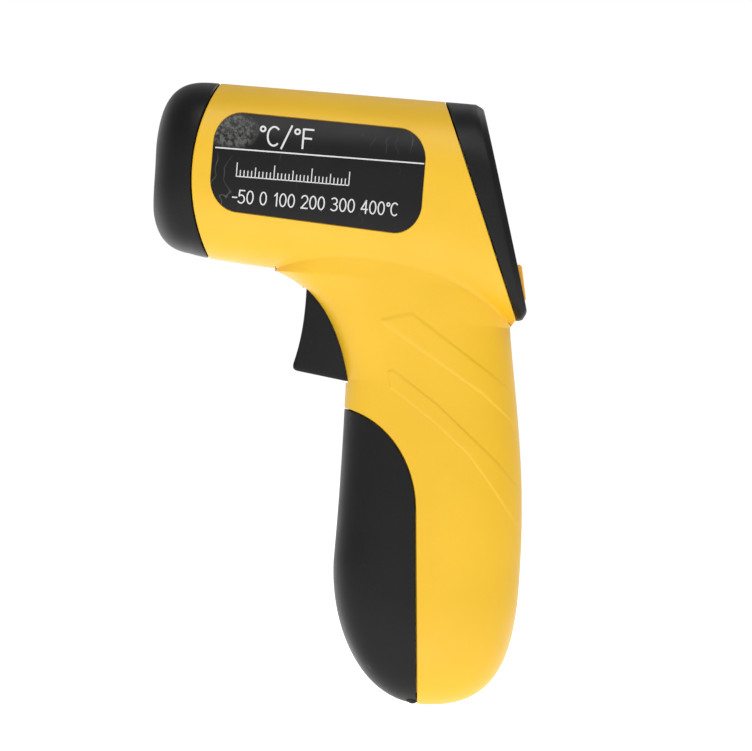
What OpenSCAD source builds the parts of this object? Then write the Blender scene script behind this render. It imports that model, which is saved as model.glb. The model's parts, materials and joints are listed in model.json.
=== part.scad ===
// Infrared thermometer with a pistol grip, held in one hand.
// The nose points to -X, the display to +X, up is +Z, and the two shells meet on y = 0.
// The origin is the middle of the grip. Every size is in millimetres.

/* [Body] */
// Height of the straight top edge of the barrel above the middle of the grip
barrel_top = 114.4; // [110:0.1:120]
// Half of the barrel's width
barrel_half = 21; // [19:0.1:23]
// How square the barrel's section is
barrel_square = 2.8; // [2.2:0.1:3.6]
// Half of the grip's width at its middle
grip_half = 16.8; // [15:0.1:18]
// Wall of the moulded shells
wall = 2.2; // [1.8:0.1:2.6]
// Width of the joint line between mouldings
seam_gap = 0.3; // [0.1:0.05:0.5]

/* [Nose] */
// How far the nose reaches past its joint line's ends
nose_depth = 14.5; // [12:0.1:18]
// Radius of the curved joint line between nose and shells
nose_seam_r = 47.4; // [40:0.1:60]
// Height of the sensor's axis
sensor_z = 89.5; // [87:0.1:92]
// Inner radius of the sensor tube
tube_r = 8.3; // [7:0.1:9]
// Height of the laser's axis
laser_z = 106; // [104.5:0.1:107]
// Outer radius of the laser's brass tube
laser_r = 3; // [2:0.1:3.2]

/* [Display] */
// Width of the clear window
window_w = 27; // [22:0.5:28]
// Height of the clear window along the panel
window_h = 24; // [18:0.5:25]
// Width of each key
key_w = 8.4; // [7:0.1:9]
// Height of each key along the panel
key_h = 9.2; // [7:0.1:9.6]
// How far the top of each key stands out
key_proud = 1.1; // [0.6:0.1:1.6]

/* [Trigger] */
// Width of the trigger
trigger_w = 14; // [11:0.1:16]
// Radius of the trigger's two moulded pins
trigger_pin_r = 1.8; // [1.4:0.1:2.2]

/* [Battery] */
// Diameter of one cell
cell_d = 10.5; // [10:0.1:10.5]
// Length of one cell with its button
cell_l = 44.5; // [43:0.1:44.5]
// Distance between the two cells' axes
cell_gap = 11.2; // [10.8:0.1:12]

/* [Hidden] */
$fn = 48;

yellow = [0.95, 0.76, 0.16];
black = [0.13, 0.13, 0.14];
steel = [0.75, 0.76, 0.78];
copper = [0.85, 0.65, 0.3];
green = [0.1, 0.4, 0.2];
white = [0.92, 0.92, 0.9];
glass = [0.55, 0.62, 0.55];

function bez(p, t) = let (s = 1 - t)
  s*s*s*p[0] + 3*s*s*t*p[1] + 3*s*t*t*p[2] + t*t*t*p[3];
function bez_line(p, n) = [for (i = [0:n]) bez(p, i/n)];
function rev(v) = [for (i = [len(v) - 1:-1:0]) v[i]];

// Side outline: barrel floor to trigger bay, grip front, toe, grip back and heel
under = [[-50, 69.4], [-37, 68.5], [-29, 61], [-24.5, 43.4]];
front = [[-24.5, 43.4], [-24.2, 32], [-23.7, 20], [-23.9, -2]];
toe = [[-23.9, -2], [-23.4, -18.5], [-14.5, -36], [0.5, -36]];
back = [[15.3, 59.5], [17, 47], [22.4, 25], [22.7, 0]];
heel = [[22.7, 0], [23.6, -24], [19, -36], [0.5, -36]];
seam_low = [16.3, 61.3];
seam_high = [-5.6, barrel_top];
panel_low = [18.9, 64];
panel_high = [4.4, barrel_top - 2.1];
panel_tilt = atan2(panel_low[0] - panel_high[0], panel_high[1] - panel_low[1]);
inward = [-cos(panel_tilt), -sin(panel_tilt)];

// Half of the width at a point of the side view, as a barrel joined to a grip
function swap(lines) = [for (l = lines) for (p = l) [p[1], p[0]]];
front_at = rev(swap([bez_line(under, 16), bez_line(front, 8), bez_line(toe, 16)]));
back_at = rev(swap([bez_line(back, 12), bez_line(heel, 16)]));
function oval(t, n) = pow(max(0, 1 - pow(min(1, abs(t)), n)), 1/n);
function floor_z(x) = let (s = (x + 70)/90) bez([72, 66.6, 73.2, 58], s);
function barrel_y(x, z) = let (b = floor_z(x), h = (barrel_top - b)/2)
  barrel_half*oval((z - b - h)/h, barrel_square);
function grip_w(z) = z < -8 ? (grip_half + 0.6)*oval((-8 - z)/28.2, 2.3)
  : z < 48 ? grip_half + 0.6*cos(90*(z + 8)/28)
  : grip_half - 0.6 + 1.1*(1 - cos(90*min(1, (z - 48)/27)));
function grip_y(x, z) =
  let (f = z > 68 ? -44 : max(-44, lookup(z, front_at)),
    b = z > 59.5 ? 15.4 + (z - 59.5)*0.2 : lookup(z, back_at),
    c = (f + b)/2, h = max(0.1, (b - f)/2), u = (x - c)/h)
  grip_w(z)*oval(u, u < 0 ? 3.3 : 2.5)*(z < 78 ? 1 : oval((z - 78)/34, 2));
function blend(a, b, k) = let (d = max(0, k - abs(a - b))/k) max(a, b) + d*d*k/4;
function skin_y(x, z) = let (a = barrel_y(x, z), b = grip_y(x, z))
  blend(a, b, min(2.5, min(a, b)/3 + 0.01));

// Pairs of outline points that each sample line joins, from nose to butt
low_line = concat([for (i = [0:5]) let (x = -72 + 22*i/6) [x, floor_z(x)]],
  bez_line(under, 14), [for (i = [1:7]) bez(front, i/7)],
  [for (i = [1:8]) bez(toe, min(0.985, i/8))]);
high_line = concat([for (i = [0:5]) [-72 + 7*i, barrel_top]],
  [for (i = [0:6]) [-36 + 30.4*i/6, barrel_top]],
  [for (i = [1:8]) seam_high + (seam_low - seam_high)*i/8],
  [for (i = [0:6]) bez(back, i/6)], [for (i = [1:8]) bez(heel, min(0.985, i/8))]);
lines = len(low_line);

// Points along one sample line on the +Y side, held back by d from the skin
function side(a, b, m, d0, d1, d) = let (l = norm(b - a))
  [for (j = [0:m]) let (s = d0/l + (1 - (d0 + d1)/l)*(1 - cos(180*j/m))/2, p = a + (b - a)*s)
    [p[0], max(0.3, skin_y(p[0], p[1]) - d), p[1]]];
function flip(v) = [for (i = [len(v) - 1:-1:0]) [v[i][0], -v[i][1], v[i][2]]];
function ring(a, b, m, d) = let (v = side(a, b, m, d, d, d)) concat(v, flip(v));
function half_ring(a, b, m, d0, d1, d, y0) = let (v = side(a, b, m, d0, d1, d))
  concat(v, [[v[m][0], y0, v[m][2]], [v[0][0], y0, v[0][2]]]);

// A solid through a row of closed loops
module loft(loops) {
  n = len(loops[0]);
  k = len(loops);
  polyhedron(points = [for (l = loops) for (p = l) p],
    faces = concat([[for (j = [0:n - 1]) j]],
      [[for (j = [n - 1:-1:0]) (k - 1)*n + j]],
      [for (i = [0:k - 2]) for (j = [0:n - 1]) let (e = (j + 1)%n)
        each [[i*n + j, (i + 1)*n + j, i*n + e],
          [i*n + e, (i + 1)*n + j, (i + 1)*n + e]]]));
}

module prism(outline, y0, y1) {
  translate([0, y1, 0])
    rotate([90, 0, 0])
      linear_extrude(y1 - y0)
        polygon(outline);
}

module rod_x(x0, x1, r, y = 0, z = 0) {
  translate([x0, y, z])
    rotate([0, 90, 0])
      cylinder(r = r, h = x1 - x0);
}

module rod_y(y0, y1, r, x, z) {
  translate([x, y1, z])
    rotate([90, 0, 0])
      cylinder(r = r, h = y1 - y0);
}

module block(x0, x1, y0, y1, z0, z1) {
  translate([x0, y0, z0])
    cube([x1 - x0, y1 - y0, z1 - z0]);
}

// Coil spring along +Z, closed at both ends
module coil(r0, r1, wire, length, turns) {
  n = 12;
  k = n*(turns + 2);
  function rise(i) = let (t = i/n)
    t < 1 ? wire*t : t > turns + 1 ? length - wire - wire*(turns + 2 - t)
      : wire + (length - 3*wire)*(t - 1)/turns;
  loft([for (i = [0:k]) let (a = 360*i/n, r = r0 + (r1 - r0)*i/k)
    [for (j = [0:4]) let (b = -72*j, q = r + wire/2*cos(b))
      [q*cos(a), q*sin(a), wire/2 + rise(i) + wire/2*sin(b)]]]);
}

// Insulated wire through a few corner points [x, z] at one y
module wire(path, y, r) {
  last = len(path) - 1;
  function way(i) = let (d = path[min(i + 1, last)] - path[max(i - 1, 0)]) d/norm(d);
  loft([for (i = [0:last]) let (w = way(i))
    [for (j = [0:7]) let (u = r*sin(45*j), v = r*cos(45*j))
      [path[i][0] - w[1]*u, y + v, path[i][1] + w[0]*u]]]);
}

// Display panel frame: X out of the panel, Z up along it, zero at its top edge
module on_panel() {
  translate([panel_high[0], 0, panel_high[1]])
    rotate([0, -panel_tilt, 0])
      children();
}

// ---- places that several pieces share ----

screw_spots = [[-47, 106.5], [-50, 75.5], [10, 42], [13.5, -19]];
trigger_at = [-31, 71.5];
hinge_at = [-1.5, -34.2];
hinge_r = 1.7;
door_seam = [[-24.8, 36.3], [-13.5, 34.7], [-5.5, 24.5], [-4.5, 12.5]];
cell_x = -11.3;
cell_low = -17;
cell_high = cell_low + cell_l;
board_back = -9.4;
board_front = -7.8;
key_low = -48;
key_high = key_low + key_h;
window_top = -7;
tube_out = tube_r + 1.4;
// Depth that the open end of the sensor tube reaches, where the lens ring sits
seat_x = -68.7;

// ---- shells ----

// Half of the gap between the two shells
half_gap = 0.025;
post_r = 2.9;
// How far out a screw post can reach and stay inside the skin
function post_y(p) = min([for (a = [0:45:315])
  skin_y(p[0] + post_r*cos(a), p[1] + post_r*sin(a))]) - 1;
function nose_arc(r) = [for (i = [-30:4:30]) [-19.6 - r*cos(i), 93.1 + r*sin(i)]];

// Everything behind the nose joint line
module behind_nose(r) {
  prism(concat(nose_arc(r), [[60, 150], [60, -60], [-40, -60]]), -40, 40);
}

// The battery door's side outline, drawn in from the joint line by g
module door_zone(g, y) {
  prism(concat([[-40, 37.4 - g]], [for (p = bez_line(door_seam, 16)) p - [g*0.6, g*0.8]],
    [[-0.4 - g, -33.8], [-0.3 - g, -45], [-40, -45]]), -y, y);
}

module body_half(d) {
  loft([for (i = [0:lines - 1]) half_ring(low_line[i], high_line[i], 16, 0, 0, d, -1)]);
}

// The hollow is open at the rear, where the display panel closes it
seam_top_i = 12;
seam_low_i = 20;
function hollow_end(i) = i < seam_top_i ? high_line[i] - [0, wall]
  : i == seam_top_i ? seam_high + [2.6, -wall]
  : i < seam_low_i ? high_line[i] - inward*3
  : i == seam_low_i ? seam_low + [0.9, 2.1] : high_line[i];
module body_hollow() {
  loft([for (i = [0:lines - 4])
    half_ring(low_line[i], hollow_end(i), 12, wall, i > seam_low_i ? wall : 0, wall, -2)]);
}

// One shell on the +Y side; the posted one takes the screws' points, the other their heads
module shell(posted) {
  difference() {
    union() {
      difference() {
        body_half(0);
        body_hollow();
      }
      for (x = [-56.4, -50])
        intersection() {
          block(x, x + 1.6, 8, 30, 74, 102);
          body_half(1);
        }
      for (p = screw_spots)
        rod_y(-0.5, post_y(p), post_r, p[0], p[1]);
      rod_y(8.2, 15.2, 3.4, trigger_at[0], trigger_at[1]);
      block(-4.4, -2.9, 10, 15, -20, 28);
      block(-16.4, -14.8, 6, 15.4, 56, 68);
      rod_y(-0.5, 2.5, hinge_r, hinge_at[0], hinge_at[1]);
      block(hinge_at[0], 3, -0.5, 2.5, -35.4, hinge_at[1] + hinge_r);
    }
    block(-90, 40, -5, half_gap, -50, 130);
    difference() {
      block(-90, 0, -1, 40, 50, 130);
      behind_nose(nose_seam_r - seam_gap);
    }
    rod_x(-80, -44, tube_out + 0.2, 0, sensor_z);
    block(-36.9, -17.5, -1, trigger_w/2 + 0.35, 42.5, 71);
    difference() {
      door_zone(0, 30);
      rod_y(-1, 2.5, hinge_r, hinge_at[0], hinge_at[1]);
    }
    rod_y(2.5, 8.5, hinge_r + 0.7, hinge_at[0], hinge_at[1]);
    rod_y(-1, 7, 0.75, hinge_at[0], hinge_at[1]);
    rod_y(7.9, 13.2, trigger_pin_r + 0.15, trigger_at[0], trigger_at[1]);
    for (p = screw_spots) {
      rod_y(-1, 9, posted ? 1.05 : 1.4, p[0], p[1]);
      if (!posted)
        rod_y(5.5, 40, 2.7, p[0], p[1]);
    }
  }
}

// Height span of the label's outline, a rectangle with round corners
function label_span(x, g) =
  let (e = min(1, min(x + 62, -9.2 - x)/7), k = 8*(1 - sqrt(1 - pow(1 - e, 2))) + g)
  [82.4 - 0.05*(x + 56) + k, 107.1 - 0.015*(x + 56) - k];
label_x = concat([for (i = [0:4]) -62 + 7*(1 - cos(18*i))], [for (i = [0:5]) -53 + 7*i],
  [for (i = [4:-1:0]) -9.2 - 7*(1 - cos(18*i))]);

// A sheet that follows the barrel's side, between two depths below the skin
module label_sheet(d0, d1, g) {
  loft([for (x = label_x) let (s = label_span(x, g))
    concat([for (j = [0:10]) let (z = s[0] + (s[1] - s[0])*j/10) [x, d1 - skin_y(x, z), z]],
      [for (j = [10:-1:0]) let (z = s[0] + (s[1] - s[0])*j/10) [x, d0 - skin_y(x, z), z]])]);
}

module left_shell() {
  color(yellow)
    difference() {
      union() {
        mirror([0, 1, 0])
          shell(true);
        block(-17, -15.5, -15.4, 3.5, 48.5, 53.5);
      }
      label_sheet(-2, 0.5, -0.1);
    }
}

module right_shell() {
  color(yellow)
    shell(false);
}

module side_label() {
  color(black)
    label_sheet(0.15, 0.45, 0.1);
}

module case_screws() {
  color(steel)
    for (p = screw_spots)
      difference() {
        union() {
          rod_y(-7.5, 5.5, 1, p[0], p[1]);
          rod_y(5.5, 7.2, 2.4, p[0], p[1]);
        }
        block(p[0] - 1.6, p[0] + 1.6, 6.4, 8, p[1] - 0.3, p[1] + 0.3);
        block(p[0] - 0.3, p[0] + 0.3, 6.4, 8, p[1] - 1.6, p[1] + 1.6);
      }
}

// ---- nose, sensor and laser ----

function power(v, e) = sign(v)*pow(abs(v), e);
function nose_ring(x, d, n) =
  let (t = min(1, max(0, (-62 - x)/(nose_depth - d))), q = pow(1 - pow(t, 3.2), 1/3.2),
    b = floor_z(max(x, -66)), h = (barrel_top - b)/2, e = 2/barrel_square)
  [for (j = [0:n - 1]) let (a = 360*j/n)
    [x, (barrel_half - d)*q*power(cos(a), e), b + h + (h - d)*q*power(sin(a), e)]];
function nose_steps(d) = [for (i = [0:9]) -62 - (nose_depth - d)*0.998*sin(9*i + 8)];
module nose_loft(d, back_x) {
  loft([for (x = rev(concat([back_x, -61], nose_steps(d)))) nose_ring(x, d, 44)]);
}

module nose_cap() {
  color(black)
    difference() {
      union() {
        difference() {
          nose_loft(0, -58);
          behind_nose(nose_seam_r);
        }
        intersection() {
          nose_loft(wall + 0.2, -57.5);
          block(-71, -50, -30, 30, 60, 130);
        }
      }
      difference() {
        nose_loft(wall + 1.2, -57);
        rod_x(-74, -58.9, laser_r + 1.3, 0, laser_z);
      }
      rod_x(-80, -55, tube_out + 0.15, 0, sensor_z);
      rod_x(-73.2, -55, laser_r + 0.1, 0, laser_z);
      rod_x(-80, -73, 1.7, 0, laser_z);
    }
}

module sensor_tube() {
  color(black)
    difference() {
      rod_x(-75, -45, tube_out, 0, sensor_z);
      rod_x(-76, seat_x, tube_r, 0, sensor_z);
      rod_x(-69, -66, tube_r - 0.4, 0, sensor_z);
      rod_x(-67, -64, tube_r - 1.1, 0, sensor_z);
      rod_x(-65, -44, tube_r - 0.3, 0, sensor_z);
    }
}

module lens_ring() {
  color(black)
    difference() {
      rod_x(seat_x, -67.2, tube_r - 0.45, 0, sensor_z);
      rod_x(-70, -66, tube_r - 1.1, 0, sensor_z);
    }
}

module infrared_lens() {
  color(white)
    rod_x(-67.2, -66, tube_r - 0.5, 0, sensor_z);
}

module thermopile() {
  color(steel) {
    rod_x(-47.5, -47, 4.7, 0, sensor_z);
    difference() {
      rod_x(-51.2, -47.5, 4.1, 0, sensor_z);
      rod_x(-52, -50.9, 2.2, 0, sensor_z);
    }
    for (a = [45:90:315])
      rod_x(-47, -45, 0.22, 2.5*cos(a), sensor_z + 2.5*sin(a));
  }
}

module sensor_board() {
  color(green)
    difference() {
      rod_x(-47, -45.6, tube_r - 0.5, 0, sensor_z);
      for (a = [45:90:315])
        rod_x(-48, -45, 0.3, 2.5*cos(a), sensor_z + 2.5*sin(a));
    }
}

module laser_tube() {
  color(copper)
    difference() {
      rod_x(-73, -59, laser_r, 0, laser_z);
      rod_x(-74, -58, laser_r - 0.7, 0, laser_z);
    }
}

module laser_lens() {
  color(glass)
    rod_x(-72.4, -71.2, laser_r - 0.75, 0, laser_z);
}

module laser_board() {
  color(green)
    block(-58.9, -57.9, -3.6, 3.6, laser_z - 2.6, laser_z + 2.6);
}

// ---- rear panel and display ----

rim = [[[16.3, 61.3], [-5.6, barrel_top], 0], [[17.4, 61.4], [0.2, barrel_top], 0],
  [[18.2, 61.9], [2.8, barrel_top - 0.3], 0.15], [[18.7, 62.8], [3.9, barrel_top - 1], 0.5],
  [panel_low, panel_high, 1.1]];
// A closed loop round the barrel on a tilted plane, with the side drawn in by d
function rim_ring(r, g) = let (a = r[0], b = r[1], v = side(a, b, 20, g, g, r[2] + g))
  concat(v, flip(v));
lip_low = seam_low + [-0.7, 1.7];
// How far the bezel's lip is drawn in from the skin
lip = wall + 0.8;

module rear_bezel() {
  color(black)
    difference() {
      union() {
        difference() {
          loft([for (r = rim) rim_ring([r[0] + (r[2] == 0 && r[0][0] < 17 ? [0.3, 0.1] : [0, 0]),
            r[1] + (r[2] == 0 && r[0][0] < 17 ? [0.3, 0] : [0, 0]), r[2]], 0)]);
          loft([rim_ring([seam_low + inward, seam_high + inward, 0], wall + 1.2),
            rim_ring([panel_low + inward*2, panel_high + inward*2, 0], wall + 1.2)]);
        }
        difference() {
          loft([rim_ring([lip_low + inward*3, seam_high + inward*3, 0], lip),
            rim_ring([lip_low - inward*0.8, seam_high - inward*3, 0], lip)]);
          loft([rim_ring([lip_low + inward*5, seam_high + inward*5, 0], lip + 1),
            rim_ring([lip_low - inward*2, seam_high - inward*5, 0], lip + 1)]);
        }
        on_panel()
          for (y = [-13.5, 13.5])
            rod_x(board_front, -1, 2.3, y, -35.5);
      }
      on_panel() {
        block(-5, 2, -window_w/2 + 1.2, window_w/2 - 1.2, window_top - window_h + 1.2,
          window_top - 1.2);
        block(-1.2, 2, -window_w/2 - 0.1, window_w/2 + 0.1, window_top - window_h - 0.1,
          window_top + 0.1);
        for (y = [-9.6, 0, 9.6])
          block(-5, 2, y - key_w/2 - 0.25, y + key_w/2 + 0.25, key_low - 0.25, key_high + 0.25);
        block(-9, -2, -14.6, 14.6, key_low - 0.9, key_high + 0.9);
        for (y = [-13.5, 13.5])
          rod_x(-9, -3, 0.85, y, -35.5);
      }
    }
}

module display_window() {
  color(glass)
    on_panel()
      block(-1.15, -0.15, -window_w/2, window_w/2, window_top - window_h, window_top);
}

module lcd_frame() {
  color(white)
    on_panel()
      difference() {
        block(board_front, -2.4, -14.4, 14.4, -32.6, -5.6);
        block(-5.2, -2, -13.4, 13.4, -31.6, -6.6);
        block(-8, -5, -12.4, 12.4, -31.6, -6.6);
      }
}

module lcd_glass() {
  color(glass)
    on_panel()
      block(-5, -3, -13.2, 13.2, -31.4, -6.8);
}

module light_guide() {
  color(white)
    on_panel()
      block(-7.7, -5.3, -12.2, 12.2, -28.2, -10);
}

module contact_strips() {
  color([0.6, 0.3, 0.35])
    on_panel()
      for (z = [-31.2, -9])
        block(board_front, -5, -12, 12, z, z + 2.2);
}

module main_board() {
  color(green)
    on_panel()
      difference() {
        translate([board_back, 0, 0])
          rotate([90, 0, 90])
            linear_extrude(board_front - board_back)
              polygon([[-15.2, -38.5], [-11, -48.5], [11, -48.5], [15.2, -38.5], [15.2, -9],
                [12, -5], [-12, -5], [-15.2, -9]]);
        for (y = [-13.5, 13.5])
          rod_x(-12, -5, 1.1, y, -35.5);
      }
}

module board_parts() {
  color([0.15, 0.15, 0.17])
    on_panel() {
      block(-10.8, board_back, -8, 1, -34, -25);
      block(-11, board_back, 4, 8, -30, -26.5);
      for (z = [-12, -15.5, -19])
        block(-10.3, board_back, -9, -6.8, z, z + 1.3);
      block(-12.6, board_back, -6, 6, -46.5, -42.5);
      rod_x(-12.4, board_back, 1.5, 10.5, -31);
    }
}

module board_screws() {
  color(steel)
    on_panel()
      for (y = [-13.5, 13.5])
        difference() {
          union() {
            rod_x(board_back, -4, 0.8, y, -35.5);
            rod_x(board_back - 1.3, board_back, 1.9, y, -35.5);
          }
          block(-12, board_back - 0.6, y - 1.2, y + 1.2, -35.75, -35.25);
          block(-12, board_back - 0.6, y - 0.25, y + 0.25, -36.7, -34.3);
        }
}

module key_switches() {
  color(black)
    on_panel()
      for (y = [-9.6, 0, 9.6])
        difference() {
          block(board_front, -4.5, y - 2.6, y + 2.6, -46, -40.8);
          rod_x(-6, -4, 1.9, y, -43.4);
        }
}

module buzzer() {
  color(black)
    on_panel()
      difference() {
        rod_x(board_back - 5, board_back, 4.5, 8, -15);
        rod_x(board_back - 6, board_back - 4, 0.8, 8, -15);
      }
}

// One key: a wedge that stands out at its top, with a flange behind the panel
module key(y) {
  color(yellow)
    on_panel()
      translate([0, y, 0]) {
        translate([0, key_w/2, 0])
          rotate([90, 0, 0])
            linear_extrude(key_w)
              polygon([[-2.6, key_low], [0.1, key_low], [0.4, key_low + 0.4],
                [key_proud, key_high - 0.7], [key_proud - 0.15, key_high - 0.2],
                [key_proud - 0.6, key_high], [-2.6, key_high]]);
        block(-3.1, -2.2, -key_w/2 - 0.5, key_w/2 + 0.5, key_low - 0.6, key_high + 0.6);
      }
}

module plunger(y) {
  color(white)
    on_panel()
      rod_x(-5.4, -3.1, 1.5, y, -43.4);
}

module key_unit() { key(-9.6); }
module key_light() { key(0); }
module key_laser() { key(9.6); }
module plunger_unit() { plunger(-9.6); }
module plunger_light() { plunger(0); }
module plunger_laser() { plunger(9.6); }

// ---- trigger ----

trigger_face = [[-36.2, 66], [-35.9, 58], [-36.4, 52], [-37.9, 46.2]];

module trigger() {
  color(black)
    difference() {
      union() {
        prism(concat(bez_line(trigger_face, 14), [[-37.9, 45.3], [-37.3, 44.6], [-36, 44.3],
          [-24.6, 42.9], [-20.9, 43.1], [-20.9, 46], [-27, 64.5], [-27.8, 72], [-29, 74],
          [-31.5, 74.8], [-34, 73.8], [-35.4, 71.5]]), -trigger_w/2, trigger_w/2);
        rod_y(-12.8, 12.8, trigger_pin_r, trigger_at[0], trigger_at[1]);
      }
      block(-34.2, -15, -5, 5, 45.6, 56.4);
    }
}

module trigger_spring() {
  color(steel)
    translate([-34.1, 0, 51])
      rotate([0, 90, 0])
        coil(2.6, 2.6, 0.5, 17, 9);
}

module trigger_switch() {
  color(black)
    difference() {
      block(-21.8, -18, -3, 3, 57, 63);
      rod_x(-22, -18.6, 1.5, 0, 60);
    }
}

module switch_plunger() {
  color(white)
    rod_x(-24.95, -20, 1.2, 0, 60);
}

module trigger_board() {
  color(green)
    block(-18, -16.4, -9, 9, 55.5, 70);
}

// ---- grip ----

grip_first = 20;
module grip_loft(d, n) {
  loft([for (i = [grip_first:lines - (d == 0 ? 1 : 4)])
    let (t = (i - grip_first)*0.08)
      ring(low_line[i], i < grip_first + 2 ? bez(back, t) : high_line[i], n, d)]);
}

module battery_door() {
  color(black)
    difference() {
      union() {
        intersection() {
          difference() {
            grip_loft(0, 18);
            grip_loft(2, 12);
          }
          door_zone(seam_gap, 30);
        }
        for (s = [-1, 1])
          rod_y(s > 0 ? 2.8 : -6, s > 0 ? 6 : -2.8, hinge_r, hinge_at[0], hinge_at[1]);
        for (s = [-1, 1])
          block(-13, -9, s > 0 ? 12.5 : -15, s > 0 ? 15 : -12.5, 17, 21);
      }
      difference() {
        block(hinge_at[0], 4, -10, 10, -40, hinge_at[1] + hinge_r + 0.2);
        rod_y(-10, 10, hinge_r, hinge_at[0], hinge_at[1]);
      }
      rod_y(-2.8, 2.8, hinge_r + 0.3, hinge_at[0], hinge_at[1]);
      rod_y(-10, 10, 0.75, hinge_at[0], hinge_at[1]);
    }
}

module hinge_pin() {
  color(steel)
    rod_y(-5.8, 5.8, 0.7, hinge_at[0], hinge_at[1]);
}

module battery_tray() {
  color(black) {
    block(-5.9, -4.5, -12.8, 12.8, -23, 33);
    block(-14.4, -5.9, -10.2, 10.2, -23, -21.5);
    block(-17, -5.9, -10.9, 10.9, 31.5, 33);
    for (s = [-1, 1])
      block(-12, -5.9, s > 0 ? 11 : -12.3, s > 0 ? 12.3 : -11, -18, 31.5);
    block(-14.5, -5.9, 1.5, 10.6, -21.5, cell_low - 0.4);
    block(-14.5, -5.9, -10.6, -1.5, cell_high + 0.4, 31.5);
    block(-11.5, -5.9, -0.3, 0.3, -15, 26);
  }
}

module battery_cells() {
  color([0.2, 0.35, 0.7])
    for (s = [-1, 1])
      translate([cell_x, s*cell_gap/2, s > 0 ? cell_high : cell_low])
        rotate([s > 0 ? 180 : 0, 0, 0]) {
          cylinder(d = cell_d, h = cell_l - 1);
          translate([0, 0, cell_l - 1])
            cylinder(r = 1.9, h = 1);
        }
}

module battery_springs() {
  color(steel) {
    translate([cell_x, -cell_gap/2, -21.1])
      coil(2.6, 2, 0.5, 4.05, 3);
    translate([cell_x, cell_gap/2, 31.1])
      rotate([180, 0, 0])
        coil(2.6, 2, 0.5, 3.55, 3);
  }
}

module battery_contacts() {
  color(steel) {
    block(-14.2, -6.2, -10, -1.2, -21.5, -21.1);
    block(-14.4, -6.2, 1.6, 10.2, cell_low - 0.4, cell_low);
    block(-14.4, -6.2, -10.2, -1.6, cell_high, cell_high + 0.4);
    block(-16.5, -6.2, 1.2, 10.2, 31.1, 31.5);
  }
}

// ---- wires ----

module sensor_wires() {
  color("white")
    for (y = [-2, 0, 2])
      wire([[-45.6, sensor_z], [-42, sensor_z], [-36, sensor_z + 0.6], [-30, 91.3],
        [-14, 91.5], [-4, 90.5], [0.9, 88.4]], y, 0.5);
}

module laser_wires() {
  color("red")
    for (y = [-1.2, 1.2])
      wire([[-57.9, 104.6], [-56.8, 104.6], [-55, 102.8], [-52, 101.2], [-40, 101.2],
        [-24, 103], [-12, 104.2], [-3.9, 103.7]], y, 0.45);
}

module battery_wires() {
  color("red")
    for (y = [-5, 5])
      wire([[-4.5, 29], [-3.4, 29], [-1.6, 34], [0.6, 44], [4.4, 54], [7.9, 60],
        [8.1, 61.8], [7.25, 64.6]], y, 0.6);
}

module switch_wires() {
  color("black")
    for (y = [-4, 4])
      wire([[-16.4, 66], [-15.2, 66], [-12.4, 69.4], [-8, 72.4], [-1, 74.2],
        [5.1, 73.2]], y, 0.45);
}

left_shell();
right_shell();
nose_cap();
rear_bezel();
display_window();
lcd_frame();
lcd_glass();
light_guide();
contact_strips();
main_board();
board_parts();
board_screws();
key_switches();
buzzer();
key_unit();
key_light();
key_laser();
plunger_unit();
plunger_light();
plunger_laser();
side_label();
sensor_tube();
lens_ring();
infrared_lens();
thermopile();
sensor_board();
laser_tube();
laser_lens();
laser_board();
trigger();
trigger_spring();
trigger_switch();
switch_plunger();
trigger_board();
battery_door();
hinge_pin();
battery_tray();
battery_cells();
battery_springs();
battery_contacts();
sensor_wires();
laser_wires();
battery_wires();
switch_wires();
case_screws();
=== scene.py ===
"""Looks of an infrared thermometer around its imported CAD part. Lengths are millimetres until a mesh is made."""
import json
import math

import bmesh
import bpy
import numpy as np
from mathutils import Matrix, Vector


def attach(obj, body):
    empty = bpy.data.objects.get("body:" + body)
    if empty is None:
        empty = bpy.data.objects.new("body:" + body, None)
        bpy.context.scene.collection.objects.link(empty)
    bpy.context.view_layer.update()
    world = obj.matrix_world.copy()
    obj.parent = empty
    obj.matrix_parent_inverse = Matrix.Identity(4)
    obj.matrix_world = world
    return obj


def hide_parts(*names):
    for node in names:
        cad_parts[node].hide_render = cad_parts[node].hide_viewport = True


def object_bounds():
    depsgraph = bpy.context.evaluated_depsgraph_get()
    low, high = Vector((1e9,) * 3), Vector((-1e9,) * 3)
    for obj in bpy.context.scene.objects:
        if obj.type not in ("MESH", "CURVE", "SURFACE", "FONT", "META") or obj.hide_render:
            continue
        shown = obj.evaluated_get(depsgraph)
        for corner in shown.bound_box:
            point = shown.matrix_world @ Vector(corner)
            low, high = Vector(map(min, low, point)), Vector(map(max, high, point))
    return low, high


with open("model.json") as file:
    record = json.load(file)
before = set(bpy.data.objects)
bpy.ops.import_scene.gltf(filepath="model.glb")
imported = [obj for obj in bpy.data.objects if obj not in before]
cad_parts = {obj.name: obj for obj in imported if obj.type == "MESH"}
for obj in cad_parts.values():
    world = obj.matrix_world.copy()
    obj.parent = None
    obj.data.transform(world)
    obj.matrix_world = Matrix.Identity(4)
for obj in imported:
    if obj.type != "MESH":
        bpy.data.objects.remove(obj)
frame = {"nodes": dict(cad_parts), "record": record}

MM = 0.001
HAIR = 1e-5    # metres, the gap that keeps surfaces from lying in one plane
cad_box = [list(c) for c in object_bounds()]
scene = bpy.context.scene
ROLL = math.radians(4.7)    # the slope of the barrel in the picture
CAMERA_DISTANCE, PICTURE_WIDTH, SENSOR_WIDTH = 2.0, 0.188, 36
PICTURE_CENTRE = (0.0097, 0, 0.0057)    # metres from the middle of the CAD box


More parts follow.
